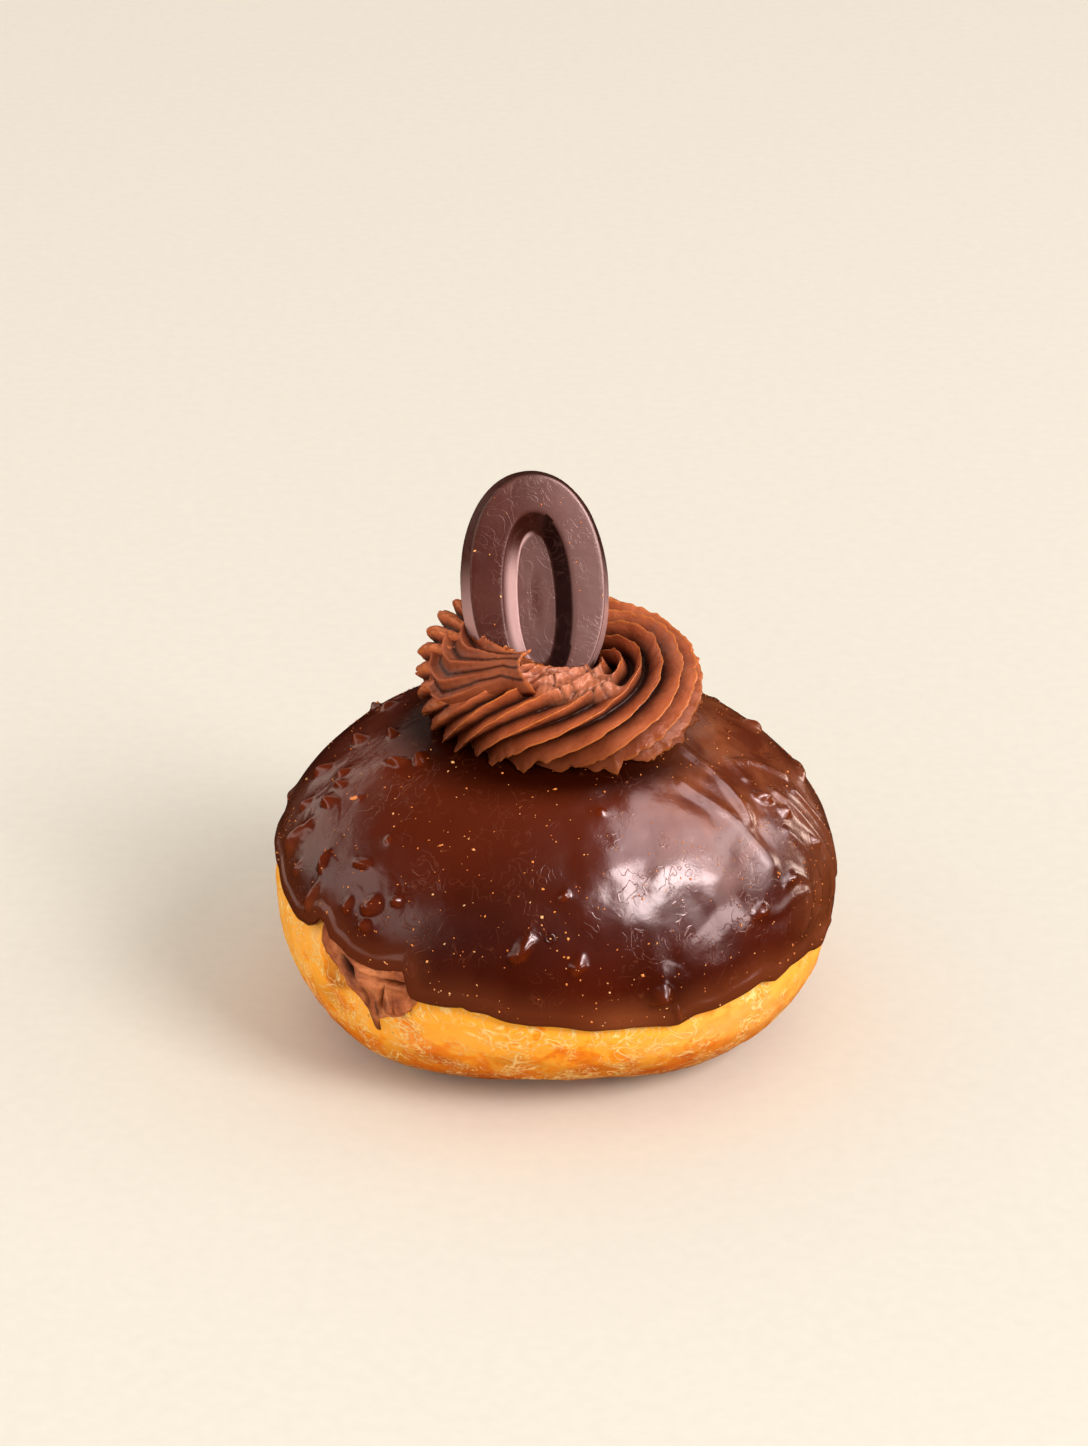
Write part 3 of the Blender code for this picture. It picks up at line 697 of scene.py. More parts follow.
# Painted shade beside the ring of cream.
ring_shade_mark = mark_node(tree, "painted_ring_shade")
base = tint(tree, base, ring_shade_mark, 0.93, (0.014, 0.0014, 0.0003))
# Amber tint on the lumps, with a painted glow low on their sides.
lump_mark = mark_node(tree, "amber")
base = tint(tree, base, lump_mark, 0.32, (0.32, 0.045, 0.004))
# Warm thin edge, and a painted sheen down the far sides.
rim_and_side_sheen_mark = mark_node(tree, "thin_rim_and_side_sheen")
base = tint(tree, base, rim_and_side_sheen_mark, 0.44, (0.260, 0.066, 0.020))
scratch = hair_lines(tree, where, 1.6 * MM, 0.022, 0.11)
base = tint(tree, base, scratch, 0.14, (0.34, 0.09, 0.03))
tree.links.new(base, shader.inputs["Base Color"])
patch = noise_node(tree, where, 5 * MM, 4.0)
dull = ramp(tree, patch, [(0.3, 0.21), (0.7, 0.28)])
dull = mix_colour(tree, times(tree, lump_mark, 0.8), dull, (0.16, 0.16, 0.16))
tree.links.new(dull, shader.inputs["Roughness"])
height_value = add(tree, "ShaderNodeSeparateXYZ", {"Vector": where}).outputs["Z"]
gloss = add(tree, "ShaderNodeMapRange", {
    "Value": height_value, "From Min": 19 * MM, "From Max": 36 * MM, "To Min": 0.10,
    "To Max": 0.95}, interpolation_type="SMOOTHSTEP").outputs["Result"]
open_share = sum_up(tree, "SUBTRACT", 1.0, times(tree, ring_shade_mark, 0.9))
tree.links.new(times(tree, gloss, open_share), shader.inputs["Specular IOR Level"])
shader.inputs["Specular Tint"].default_value = (1.0, 0.87, 0.88, 1.0)
relief = bumps(tree, noise_node(tree, where, 0.8 * MM, 5.0), 0.25, 0.2 * MM)
tree.links.new(bumps(tree, scratch, 0.25, 0.1 * MM, relief), shader.inputs["Normal"])
shader.inputs["IOR"].default_value = 1.46
tree.links.new(times(tree, open_share, 0.12), shader.inputs["Coat Weight"])
shader.inputs["Coat Roughness"].default_value = 0.12
glaze.data.materials.append(material)
print("glaze has", len(tree.nodes), "shader nodes")

# %% [markdown]
# Hundreds of golden specks lie in the glaze: crumbs of biscuit, most no wider than a pencil line.
# They are true little solids. Each is an eight-sided bit, flattened and turned at random, and all
# of them are joined to one mesh.

# %% Golden specks
SPECKS = 950
OCTAHEDRON = np.array([(1, 0, 0), (-1, 0, 0), (0, 1, 0), (0, -1, 0), (0, 0, 1), (0, 0, -1)], float)
OCTA_FACES = [(0, 2, 4), (2, 1, 4), (1, 3, 4), (3, 0, 4),
              (2, 0, 5), (1, 2, 5), (3, 1, 5), (0, 3, 5)]


def scatter_bits(name, places, normals, radii, seed):
    """One mesh of small uneven bits, half sunk at the given places."""
    rng = np.random.default_rng(seed)
    points, faces = [], []
    for place, normal, radius in zip(places, normals, radii):
        turn = Vector(normal).to_track_quat("Z", "Y").to_matrix()
        spin = Matrix.Rotation(rng.uniform(0, 2 * math.pi), 3, "Z")
        stretch = np.array((rng.uniform(0.7, 1.5), rng.uniform(0.6, 1.0), rng.uniform(0.4, 0.8)))
        bit = OCTAHEDRON * stretch * radius * rng.uniform(0.75, 1.2, (6, 1))
        turned = bit @ np.array(turn @ spin).T
        faces += [tuple(i + len(points) for i in face) for face in OCTA_FACES]
        points += (turned + place + normal * 0.25 * radius).tolist()
    return make_object(name, np.array(points), faces)


rng = np.random.default_rng(21)
shell_normals = grid_normals(shell)
weight = (away > 18.5 * MM) * (shares[:, None] < 0.985)
weight = weight * np.where(np.sin(np.radians(angles)) < 0.1, 1.0, 3.0)[None, :] * away
weight = weight * (1 + 0.8 * smooth(noise(outer, 14 * MM, 30), -0.1, 0.5))
weight = weight * (1 - 0.6 * hump(angles, 165, 205, 12))[None, :]
weight = weight.ravel() / weight.sum()
picked = rng.choice(weight.size, SPECKS, replace=False, p=weight)
radii = np.exp(rng.normal(math.log(0.132), 0.38, SPECKS)).clip(0.06, 0.42) * MM
specks = scatter_bits("golden_specks", shell.reshape(-1, 3)[picked],
                      shell_normals.reshape(-1, 3)[picked], radii, 22)
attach(specks, "root")
material, tree, shader = new_material("golden_crumb")
where = place_on(tree)
tone = noise_node(tree, where, 1.5 * MM, 2.0)
tree.links.new(ramp(tree, tone, [(0.3, (0.62, 0.12, 0.020)), (0.5, (0.95, 0.29, 0.050)),
                                 (0.7, (1.0, 0.56, 0.24))]), shader.inputs["Base Color"])
shader.inputs["Roughness"].default_value = 0.35
specks.data.materials.append(material)
print("specks are", round(float(radii.min()) / MM, 2), "to", round(float(radii.max()) / MM, 2),
      "mm in radius")

# %% [markdown]
# Two single details sit on the glaze: a burst bubble that left a tiny ring with a golden middle,
# and a pale flake of biscuit. The ring is a small torus and the flake a thin slab with a ragged
# outline, each laid flat on the nearest point of the glaze.

# %% Bubble ring and flake
BUBBLE_PLACE = (269.5, 33.8)  # angle, height in mm
BUBBLE_RADIUS = 0.62 * MM
BUBBLE_TUBE = 0.20 * MM
RING_STEPS_ROUND = 28
TUBE_STEPS = 12
FLAKE_PLACE = (206.3, 43.0)


def frame_at(angle, height):
    """Nearest point of the glaze and the matrix that lays a flat thing on it there."""
    target = body_point(angle, latitude_of(height * MM, angle))
    nearest = np.argmin(np.linalg.norm(shell - target, axis=-1))
    normal = Vector(shell_normals.reshape(-1, 3)[nearest])
    return shell.reshape(-1, 3)[nearest], np.array(normal.to_track_quat("Z", "Y").to_matrix())


centre, lie = frame_at(*BUBBLE_PLACE)
around, tube = np.meshgrid(np.linspace(0, 2 * np.pi, RING_STEPS_ROUND, endpoint=False),
                           np.linspace(0, 2 * np.pi, TUBE_STEPS, endpoint=False), indexing="ij")
reach = BUBBLE_RADIUS + BUBBLE_TUBE * np.cos(tube)
torus = np.stack([reach * np.cos(around), reach * np.sin(around), BUBBLE_TUBE * np.sin(tube)], -1)
torus = torus @ lie.T + centre
index = np.arange(RING_STEPS_ROUND * TUBE_STEPS).reshape(RING_STEPS_ROUND, TUBE_STEPS)
ahead = np.roll(index, -1, axis=0)
ring_quads = np.stack([index, ahead, np.roll(ahead, -1, axis=1), np.roll(index, -1, axis=1)], -1)
bubble = make_object("bubble_ring", torus.reshape(-1, 3), ring_quads.reshape(-1, 4).tolist())
bubble.data.materials.append(glaze.data.materials[0])
flake_centre, flake_lie = frame_at(*FLAKE_PLACE)
flake_outline = np.array([(-1.0, -0.7), (-0.3, -0.5), (0.2, -0.1), (0.9, 0.6), (0.5, 0.75),
                          (0.1, 0.5), (-0.2, 0.55), (-0.6, 0.0), (-1.1, -0.3)]) * MM
corners = len(flake_outline)
flake_low = np.column_stack([flake_outline, np.full(corners, -0.1 * MM)])
flake_high = np.column_stack([flake_outline * 0.85, np.full(corners, 0.22 * MM)])
flake_points = np.concatenate([flake_low, flake_high]) @ flake_lie.T + flake_centre
flake_faces = [tuple(range(corners - 1, -1, -1)), tuple(range(corners, 2 * corners))]
flake_faces += [(i, (i + 1) % corners, (i + 1) % corners + corners, i + corners)
                for i in range(corners)]
flake = make_object("biscuit_flake", flake_points, flake_faces)
flake.data.shade_flat()
dot = scatter_bits("bubble_dot", [centre], [lie[:, 2]], [0.26 * MM], 25)
for thing in (bubble, flake, dot):
    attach(thing, "root")
flake.data.materials.append(material)
dot.data.materials.append(material)

# %% [markdown]
# The bun is fried dough: a thin golden skin over a soft crumb. It fills the space under the glaze,
# shows as a band below the dipping line and rests on a flat foot. Shallow dents and wrinkles are
# part of the mesh.

# %% Bun mesh
DOUGH_STEP = 0.5 * MM
DOUGH_COLUMNS = 480
DOUGH_ROWS = 84
dough_angles = np.linspace(0, 360, DOUGH_COLUMNS, endpoint=False)
under = latitude_of(glaze_edge(dough_angles) - 0.45 * MM, dough_angles)
covered = []
for share in (0.05, 0.2, 0.4, 0.6, 0.8, 0.97):
    covered.append(body_point(dough_angles, 90 + (under - 90) * share, GLAZE_THICKNESS + GAP))
belly_share = np.linspace(0, 1, DOUGH_ROWS)[:, None]
belly_latitude = under[None, :] + (-90 - under[None, :]) * belly_share
belly = body_point(dough_angles[None, :], belly_latitude, DOUGH_STEP)
belly_out = grid_normals(belly)
tuck = np.exp(-(belly_share / 0.035) ** 2)
DENTS = [(224.0, 18.9, 2.0, 0.9), (227.5, 17.9, 1.6, 0.6), (243.5, 20.4, 1.2, 0.4)]
sag = 0.30 * noise(belly, 15 * MM, 41) + 0.22 * noise(belly, 5 * MM, 42)
sag += 0.09 * noise(belly, 1.8 * MM, 43)
for angle, height, width, depth in DENTS:
    centre = body_point(angle, latitude_of(height * MM, angle), DOUGH_STEP)
    sag -= depth * np.exp(-(np.linalg.norm(belly - centre, axis=-1) / (width * MM)) ** 2)
low = smooth(belly[..., 2], 0.0, 4 * MM)
belly_height = belly[..., 2] / MM
under_smear = hump(dough_angles[None, :], 219.5, 239.5, 2.0) * hump(belly_height, 21.5, 40, 2.5)
under_smear = np.maximum(under_smear, hump(dough_angles[None, :], 229.5, 238.0, 1.5)
                         * hump(belly_height, 18.8, 40, 1.5))
sag -= 1.6 * under_smear  # the dough makes room for the filling's smear
belly = belly + belly_out * (sag * MM * low * (1 - tuck) - 0.9 * MM * tuck)[..., None]
belly[..., 2] = np.maximum(belly[..., 2], 0.0)
bun_grid = np.concatenate([np.stack(covered), belly])
print("the skin is at most", round(float(-sag.min()), 2), "mm below its even shape")

# %% [markdown]
# The skin is browner in some places and paler in others. Noise alone makes the kind of mottling
# that dough has, but not its large stains, so those are listed and carried as two marks on the
# mesh.

# %% Stains of the bun's skin
SKIN_SPOTS = [  # (angle, height, width in mm, tall in mm, tone: above 0 browner, below 0 paler)
    (213.5, 25.0, 2.6, 2.2, -1.0), (220.5, 20.6, 2.2, 2.4, 0.9), (226.0, 17.6, 1.8, 1.4, -0.6),
    (222.5, 19.0, 2.6, 0.8, 0.8), (205.0, 20.0, 2.0, 4.0, -0.4), (216.0, 15.0, 5.0, 2.0, 0.5),
    (238.0, 14.0, 4.0, 2.0, -0.5), (243.0, 10.0, 5.0, 1.8, 0.5), (252.0, 16.0, 4.0, 2.4, -0.3),
    (262.0, 12.0, 3.0, 2.0, 0.5), (280.0, 9.5, 5.0, 2.0, 0.5), (292.0, 13.5, 3.0, 2.0, -0.4),
    (304.0, 10.0, 3.5, 2.0, 0.4), (306.0, 15.0, 7.0, 3.0, -0.8), (322.0, 13.0, 8.0, 5.0, -0.6),
    (338.0, 13.0, 6.0, 5.0, -0.3)]
skin_tone = np.zeros(bun_grid.shape[:2])
for angle, height, width, tall, tone in SKIN_SPOTS:
    centre = body_point(angle, latitude_of(height * MM, angle), DOUGH_STEP)
    offset = (bun_grid - centre) / MM
    aside = np.hypot(offset[..., 0], offset[..., 1]) / width
    wobble = 1 + 0.5 * noise(bun_grid, 2.5 * MM, 45)
    skin_tone += tone * np.exp(-(aside * wobble) ** 2 - (offset[..., 2] * wobble / tall) ** 2)
bun = closed_grid("golden_bun", bun_grid,
                  (0, 0, WIDEST_LEVEL + BODY_RISE - GLAZE_THICKNESS - GAP), (0, 0, 0),
                  {"browned": np.clip(skin_tone, 0, 1), "paled": np.clip(-skin_tone, 0, 1)})
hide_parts("dough_bun")
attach(bun, "root")

# %% [markdown]
# Fried skin is deep orange where it touched the oil and pale where it floated. The colour is mixed
# from large soft noise, with a little light let in under the skin, dark pits, and the pale curly
# wrinkles of a skin that shrank as it cooled. Near the floor it turns browner, partly from the
# frying and partly as painted shade.

# %% Bun finish
material, tree, shader = new_material("fried_dough")
coordinates = place_on(tree)
level = part_of(tree, coordinates, "Z", 0.0, 24 * MM)
coarse_mottle = noise_node(tree, coordinates, 4.5 * MM, 5.0, 0.8, 0.6)
fine_mottle = noise_node(tree, coordinates, 1.3 * MM, 4.0, 1.5, 0.6)
mottle = sum_up(tree, "ADD", times(tree, coarse_mottle, 0.7), times(tree, fine_mottle, 0.3))
tone = sum_up(tree, "ADD", times(tree, level, 0.38),
              times(tree, mottle, 1.5))
base = ramp(tree, tone, [(0.62, (0.50, 0.078, 0.002)), (0.80, (0.86, 0.190, 0.003)),
                         (0.95, (0.95, 0.300, 0.008)), (1.0, (0.98, 0.40, 0.030))])
browned = mark_node(tree, "browned")
base = tint(tree, base, browned, 0.80, (0.34, 0.072, 0.004))
paled = mark_node(tree, "paled")
base = tint(tree, base, paled, 0.70, (0.98, 0.50, 0.115))
# Browner near the floor: partly the deeper frying of the underside, partly painted shade.
underside_brown_and_shade = part_of(tree, coordinates, "Z", 13.0 * MM, 4.0 * MM)
base = tint(tree, base, underside_brown_and_shade, 0.66, (0.34, 0.060, 0.002))
wrinkle = sum_up(tree, "MAXIMUM", hair_lines(tree, coordinates, 2.4 * MM, 0.050, 0.31, 2.2),
                 hair_lines(tree, coordinates, 1.4 * MM, 0.055, 0.77, 2.6))
base = tint(tree, base, wrinkle, 0.75, (1.0, 0.74, 0.30))
PITS_PER_METRE = 330.0
pits = add(tree, "ShaderNodeTexVoronoi", {"Vector": coordinates, "Scale": PITS_PER_METRE})
pit_mask = ramp(tree, pits.outputs["Distance"], [(0.05, 1.0), (0.12, 0.0)])
base = tint(tree, base, pit_mask, 0.5, (0.40, 0.11, 0.015))
tree.links.new(base, shader.inputs["Base Color"])
set_sockets(shader, {"Subsurface Weight": 0.10, "Subsurface Radius": (1.0, 0.35, 0.1),
                     "Subsurface Scale": 0.002, "Roughness": 0.48, "Specular IOR Level": 0.13})
relief = bumps(tree, noise_node(tree, coordinates, 0.7 * MM, 4.0), 0.5, 0.3 * MM)
tree.links.new(bumps(tree, wrinkle, 0.5, 0.3 * MM, relief), shader.inputs["Normal"])
bun.data.materials.append(material)
print("bun has", len(tree.nodes), "shader nodes")

# %% [markdown]
# The chocolate cream filling sits in a pocket in the middle. On the left it has been squeezed out
# between bun and glaze and lies there as a smear with a torn lower edge. Only the smear is seen, so
# only the smear is made: one grid that is pushed out into folds and slits, and closed behind.

# %% Filling mesh
SMEAR_LOW = np.array([  # (angle, lowest height in mm)
    (216.6, 27.6), (217.3, 26.6), (218.6, 25.3), (220.9, 23.9), (223.5, 21.9), (227.1, 20.5),
    (228.8, 18.9), (230.2, 17.0), (230.9, 14.6), (231.3, 12.9), (231.7, 14.0), (232.2, 15.8),
    (233.1, 16.0), (234.3, 16.6), (237.6, 17.7), (240.3, 19.4), (241.9, 21.3)])
SMEAR_COLUMNS = 220
SMEAR_ROWS = 110
SMEAR_DEPTH = 3.0 * MM
across = np.linspace(0, 1, SMEAR_COLUMNS)
smear_angles = SMEAR_LOW[0, 0] + (SMEAR_LOW[-1, 0] - SMEAR_LOW[0, 0]) * across
smear_low = np.interp(smear_angles, SMEAR_LOW[:, 0], SMEAR_LOW[:, 1]) * MM
smear_high = np.maximum(glaze_edge(smear_angles) + 0.2 * MM, smear_low + 0.5 * MM)
up = np.linspace(0, 1, SMEAR_ROWS)[:, None]
smear_height = smear_high[None, :] + (smear_low - smear_high)[None, :] * up
smear_place = smear_angles[None, :] + np.zeros_like(up)
flat = body_point(smear_place, latitude_of(smear_height, smear_place), DOUGH_STEP)
smear_out = flat - flat * (0, 0, 1)
smear_out /= np.linalg.norm(smear_out, axis=-1, keepdims=True)
print("smear spans", round(SMEAR_LOW[-1, 0] - SMEAR_LOW[0, 0], 1), "degrees round the body")

# %% [markdown]
# The smear's relief is a sum of soft spots: round or long hills where cream is thick, and narrow
# slits where it has torn. Two more sums of spots say where painted shade darkens a slit and where a
# worn edge is pale. A list of spots is quick to change, and noise roughens what lies between them.

# %% Relief of the filling
def spot(angle, height, width, tall, turn=0.0):
    """A soft spot on the smear, 1 at its middle; sizes in mm."""
    x = (smear_place - angle) * math.radians(1.0) * BODY_RADIUS / MM
    z = smear_height / MM - height
    tilt = math.radians(turn)
    along = x * math.cos(tilt) + z * math.sin(tilt)
    aside = z * math.cos(tilt) - x * math.sin(tilt)
    return np.exp(-(along / width) ** 2 - (aside / tall) ** 2)


def spots(*listed):
    """Sum of soft spots, each given as its strength and what `spot` asks for."""
    return sum(strength * spot(*place) for strength, *place in listed)


rim = np.minimum(smooth(across, 0.0, 0.08), smooth(1 - across, 0.0, 0.04))
rim = np.minimum(smooth(1 - up, 0.0, 0.10), rim)
swell = 0.75 + 0.35 * noise(flat, 4 * MM, 51) + 0.18 * noise(flat, 1.6 * MM, 52)
swell += 0.05 * noise(flat, 0.6 * MM, 53)
swell += spots((1.2, 237.6, 19.6, 2.2, 1.8), (0.9, 230.5, 22.9, 3.2, 0.9, -14),
               (0.7, 227.2, 21.6, 0.9, 2.8, 42), (0.5, 232.0, 18.5, 0.6, 2.6),
               (0.6, 230.5, 24.9, 2.6, 0.45, -8))
swell -= spots((1.6, 226.3, 24.0, 2.0, 0.65, -38), (1.5, 234.3, 20.6, 2.2, 0.30, 75),
               (1.6, 237.4, 24.3, 2.3, 0.32, 8), (1.0, 230.4, 20.6, 0.35, 1.6, 20),
               (0.6, 238.0, 19.0, 0.2, 2.0, 10))
# Painted shade in the slits and cracks.
dark = spots((2.0, 226.3, 24.0, 1.7, 0.52, -38), (1.0, 234.3, 20.6, 2.0, 0.22, 75),
             (0.8, 237.4, 24.3, 2.2, 0.26, 8), (0.6, 230.4, 20.6, 0.3, 1.4, 20),
             (0.8, 232.9, 18.6, 0.16, 1.6), (0.5, 231.6, 14.6, 0.5, 1.2))
pale_edge = spots((0.8, 226.2, 25.2, 1.8, 0.25, -38), (0.6, 236.2, 21.6, 0.25, 1.6, 15),
                  (0.5, 238.0, 23.6, 1.8, 0.2, 6), (0.5, 224.0, 23.0, 1.9, 0.22, -44))
face = flat + smear_out * ((swell * rim - 0.25 * (1 - rim)) * MM)[..., None]
back = body_point(smear_place, latitude_of(smear_height, smear_place), SMEAR_DEPTH)
print("smear stands out by up to", round(float((swell * rim).max()), 2), "mm")


def sheet_solid(name, front, rear, marks=None):
    """Close two grids of the same size, one in front of the other, to a solid."""
    rows, columns = front.shape[:2]
    points = np.concatenate([front.reshape(-1, 3), rear.reshape(-1, 3)])
    offset = rows * columns
    index = np.arange(offset).reshape(rows, columns)
    quads = np.stack([index[:-1, :-1], index[1:, :-1], index[1:, 1:], index[:-1, 1:]], -1)
    quads = quads.reshape(-1, 4)
    faces = quads.tolist() + (quads[:, ::-1] + offset).tolist()
    rim_line = list(index[0]) + list(index[1:, -1])
    rim_line += list(index[-1, -2::-1]) + list(index[-2:0:-1, 0])
    for a, b in zip(rim_line, rim_line[1:] + rim_line[:1]):
        faces.append((int(a), int(b), int(b) + offset, int(a) + offset))
    doubled = {key: np.tile(np.asarray(values).ravel(), 2) for key, values in (marks or {}).items()}
    return make_object(name, points, faces, doubled)


filling = sheet_solid("cream_filling", face, back,
                      {"dark": np.clip(dark, 0, 1), "worn": np.clip(pale_edge, 0, 1)})
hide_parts("filling")
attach(filling, "root")

# %% [markdown]
# Milk chocolate cream is lighter and duller than the glaze. A soft noise mixes three browns, and
# the marks on the mesh darken the slits and pale the worn edges. Darkening them in the colour as
# well as in the relief keeps thin slits clear, where light alone would fill them.

# %% Filling finish
material, tree, shader = new_material("milk_chocolate_cream")
coordinates = place_on(tree)
tone = noise_node(tree, coordinates, 1.8 * MM, 5.0, 0.5, 0.65)
base = ramp(tree, tone, [(0.33, (0.20, 0.036, 0.007)), (0.5, (0.39, 0.096, 0.023)),
                         (0.67, (0.60, 0.20, 0.066))])
dark_mark = mark_node(tree, "dark")
worn_mark = mark_node(tree, "worn")
base = tint(tree, base, worn_mark, 0.6, (0.78, 0.33, 0.13))
# Painted shade in the slits.
base = mix_colour(tree, dark_mark, base, (0.030, 0.006, 0.002))
tree.links.new(base, shader.inputs["Base Color"])
set_sockets(shader, {"Subsurface Weight": 0.15, "Subsurface Radius": (1.0, 0.4, 0.2),
                     "Subsurface Scale": 0.001, "Roughness": 0.5})
relief = bumps(tree, noise_node(tree, coordinates, 0.5 * MM, 4.0), 0.5, 0.3 * MM)
tree.links.new(relief, shader.inputs["Normal"])
filling.data.materials.append(material)
print("filling has", len(tree.nodes), "shader nodes")

# %% [markdown]
# The cream was piped through a star nozzle while the bag went once round. The star's points leave
# ridges that wind about the rope like threads of a screw. So the mesh is a rope bent to a ring:
# its columns follow the ridges, which keeps every crest sharp. How fast the rope turns is a list of
# rates round the ring.

# %% Turns of the rope
RING_CENTRE_X = 1.3 * MM
RING_RADIUS = 12.9 * MM
RING_LEVEL = 55.0 * MM
ROPE_HALF_WIDTH = 8.7 * MM
ROPE_HALF_HEIGHT = 8.5 * MM
ROPE_POWER = 2.2
RIDGES = 14
RIDGE_TURNS = 19
PER_RIDGE = 16
RING_STEPS = 440
TWIST_RATE = np.array([  # (angle, degrees of twist per degree round)
    (0, 0.6), (50, 0.7), (110, 1.1), (150, 1.6), (190, 1.9), (215, 2.4), (232, 2.5), (250, 1.7),
    (265, 1.2), (300, 1.15), (330, 1.05), (350, 0.7), (360, 0.6)])
TWIST_ANCHOR = (316.0, 70.0)  # a crest passes this angle round and this angle on the section
fine_angle = np.linspace(0, 360, 3601)
rate = np.interp(fine_angle, TWIST_RATE[:, 0], TWIST_RATE[:, 1])
turned = np.concatenate([[0], np.cumsum((rate[1:] + rate[:-1]) / 2 * 0.1)])
turned *= RIDGE_TURNS * 360 / RIDGES / turned[-1]
print("the rope turns", round(float(turned[-1])), "degrees on its way round")

round_angle = np.arange(RING_STEPS) * 360 / RING_STEPS
twist = np.interp(round_angle, fine_angle, turned)
twist += TWIST_ANCHOR[1] - np.interp(TWIST_ANCHOR[0], fine_angle, turned)
step = np.arange(PER_RIDGE) / PER_RIDGE
step = step - 0.09 * np.sin(2 * np.pi * step)
within = np.tile(step, RIDGES)
ridge_number = np.repeat(np.arange(RIDGES), PER_RIDGE)
phi = round_angle[:, None] + np.zeros(RIDGES * PER_RIDGE)[None, :]
theta = (ridge_number + within)[None, :] * 360 / RIDGES + twist[:, None]
theta = np.mod(theta + 180, 360) - 180

# %% [markdown]
# The rope's section is a full oval, and one side of the ring stands a little higher and fatter,
# because the rope's end was laid over its start. One function gives any point of it from three
# numbers: the angle round the ring, the angle on the section and the depth below the star's tips.

# %% Section of the rope
RING_SWELL_ANGLE = 155.0
RING_SWELL_SPREAD = 60.0
RING_SWELL_RISE = 2.0 * MM
RING_SWELL_OUT = 0.7 * MM
RING_SWELL_HEIGHT = 1.0 * MM


def rope_place(phi, theta, depth):
    """A point of the ring, `depth` below the star's tips. One side stands a little higher."""
    off = np.abs(np.mod(phi - RING_SWELL_ANGLE + 180, 360) - 180) / RING_SWELL_SPREAD
    swell = np.cos(np.pi / 2 * np.minimum(off, 1)) ** 2
    out = np.cos(np.radians(theta))
    up = np.sin(np.radians(theta))
    reach = (np.abs(out) ** ROPE_POWER + np.abs(up) ** ROPE_POWER) ** (-1 / ROPE_POWER)
    half_height = ROPE_HALF_HEIGHT + RING_SWELL_HEIGHT * swell
    radius = RING_RADIUS + RING_SWELL_OUT * swell + out * (ROPE_HALF_WIDTH * reach - depth)
    level = RING_LEVEL + RING_SWELL_RISE * swell + up * (half_height * reach - depth)
    turn = np.radians(phi)
    return np.stack([RING_CENTRE_X + radius * np.cos(turn), radius * np.sin(turn), level], -1)


smooth_rope = rope_place(phi, theta, 0.0)
theta = theta + 2.2 * noise(smooth_rope, 3.2 * MM, 60)
smooth_rope = rope_place(phi, theta, 0.0)
print("the ring is", round(float(np.ptp(smooth_rope[..., 0])) / MM, 1), "mm wide at its tips")

# %% [markdown]
# Between two crests the cream falls into a narrow valley. The depth changes round the ring: deep
# and open at the front, rounder at the back, almost smooth and cracked where the cream was stroked
# flat, and covered by a hood at the left. Noise tears the crests. All of it is one sum of depths,
# so no pieces have to be joined.

# %% Ridges and valleys
VALLEY = 0.70  # place of the valley between two crests
share = np.where(within < VALLEY, within / VALLEY, (1 - within) / (1 - VALLEY))[None, :]
petals = hump(phi, 95, 200, 25) * hump(theta, -60, 95, 20)
front = hump(phi, 215, 315, 25) * hump(theta, -60, 50, 20)
sharp = (1 - share) ** (1.65 - 0.45 * front)
crest = sharp + (1 - share ** 2.4 - sharp) * petals
pale = hump(phi, 260, 298, 10) * hump(theta, 62, 125, 12)
HOOD_LOW = np.array([(200, -10), (214, -5), (222, 14), (228, 30), (234, 46), (244, 62), (262, 62)])
above_hood_line = theta - np.interp(phi, HOOD_LOW[:, 0], HOOD_LOW[:, 1])
hood = smooth(above_hood_line, 0, 14) * hump(theta, -90, 100, 12) * hump(phi, 202, 250, 8)
open_ridges = hump(theta, -22, 150, 20) * (1 - hump(phi, 130, 250, 25))
depth_scale = 3.0 + 1.0 * open_ridges - 2.75 * pale - 2.2 * hood - 0.6 * petals
ragged = 0.42 * noise(smooth_rope, 1.7 * MM, 61) + 0.30 * noise(smooth_rope, 3.6 * MM, 62)
ragged += 0.18 * noise(smooth_rope, 0.8 * MM, 65)
frill = smooth(-theta, 5, 35) * smooth(theta, -80, -60)
ragged = ragged * (0.8 + 1.7 * frill) * (1 - 0.7 * pale)
depth = depth_scale * (1 - crest) + 0.35 * crest + ragged * crest ** 2 + 1.3 * hood
depth += 0.14 * noise(smooth_rope, 2.4 * MM, 63) + 0.06 * noise(smooth_rope, 0.9 * MM, 64)
near, second = cells(smooth_rope * (1.0, 1.4, 1.0), 5.0 * MM, 66)
crack = 1 - smooth(second - near, 0.0, 0.40 * MM)
scale_tilt = 0.16 * noise(smooth_rope, 3.6 * MM, 67)
depth += (0.85 * crack + 0.15 * smooth(near, 0.6 * MM, 3.0 * MM) + scale_tilt) * pale
scale_near, scale_second = cells(smooth_rope * (1.0, 1.0, 1.6), 3.4 * MM, 68)
depth += 0.40 * (1 - smooth(scale_second - scale_near, 0.0, 0.4 * MM)) * petals
ring = rope_place(phi, theta, depth * MM)
print("ring mesh has", ring.shape[0] * ring.shape[1], "points")

# %% [markdown]
# Cream settles on what it touches. Points below the glaze's dome are lifted onto it, and points
# inside the oval's place are pushed out through its nearest face, so that no two pieces cut through
# each other. A boolean cut could do that too, but it would break up the neat grid of the ridges.

# %% Rest the ring on the glaze and against the oval
CREAM_GAP = 1.3 * GAP  # the cream stops this far above the glaze's smooth dome


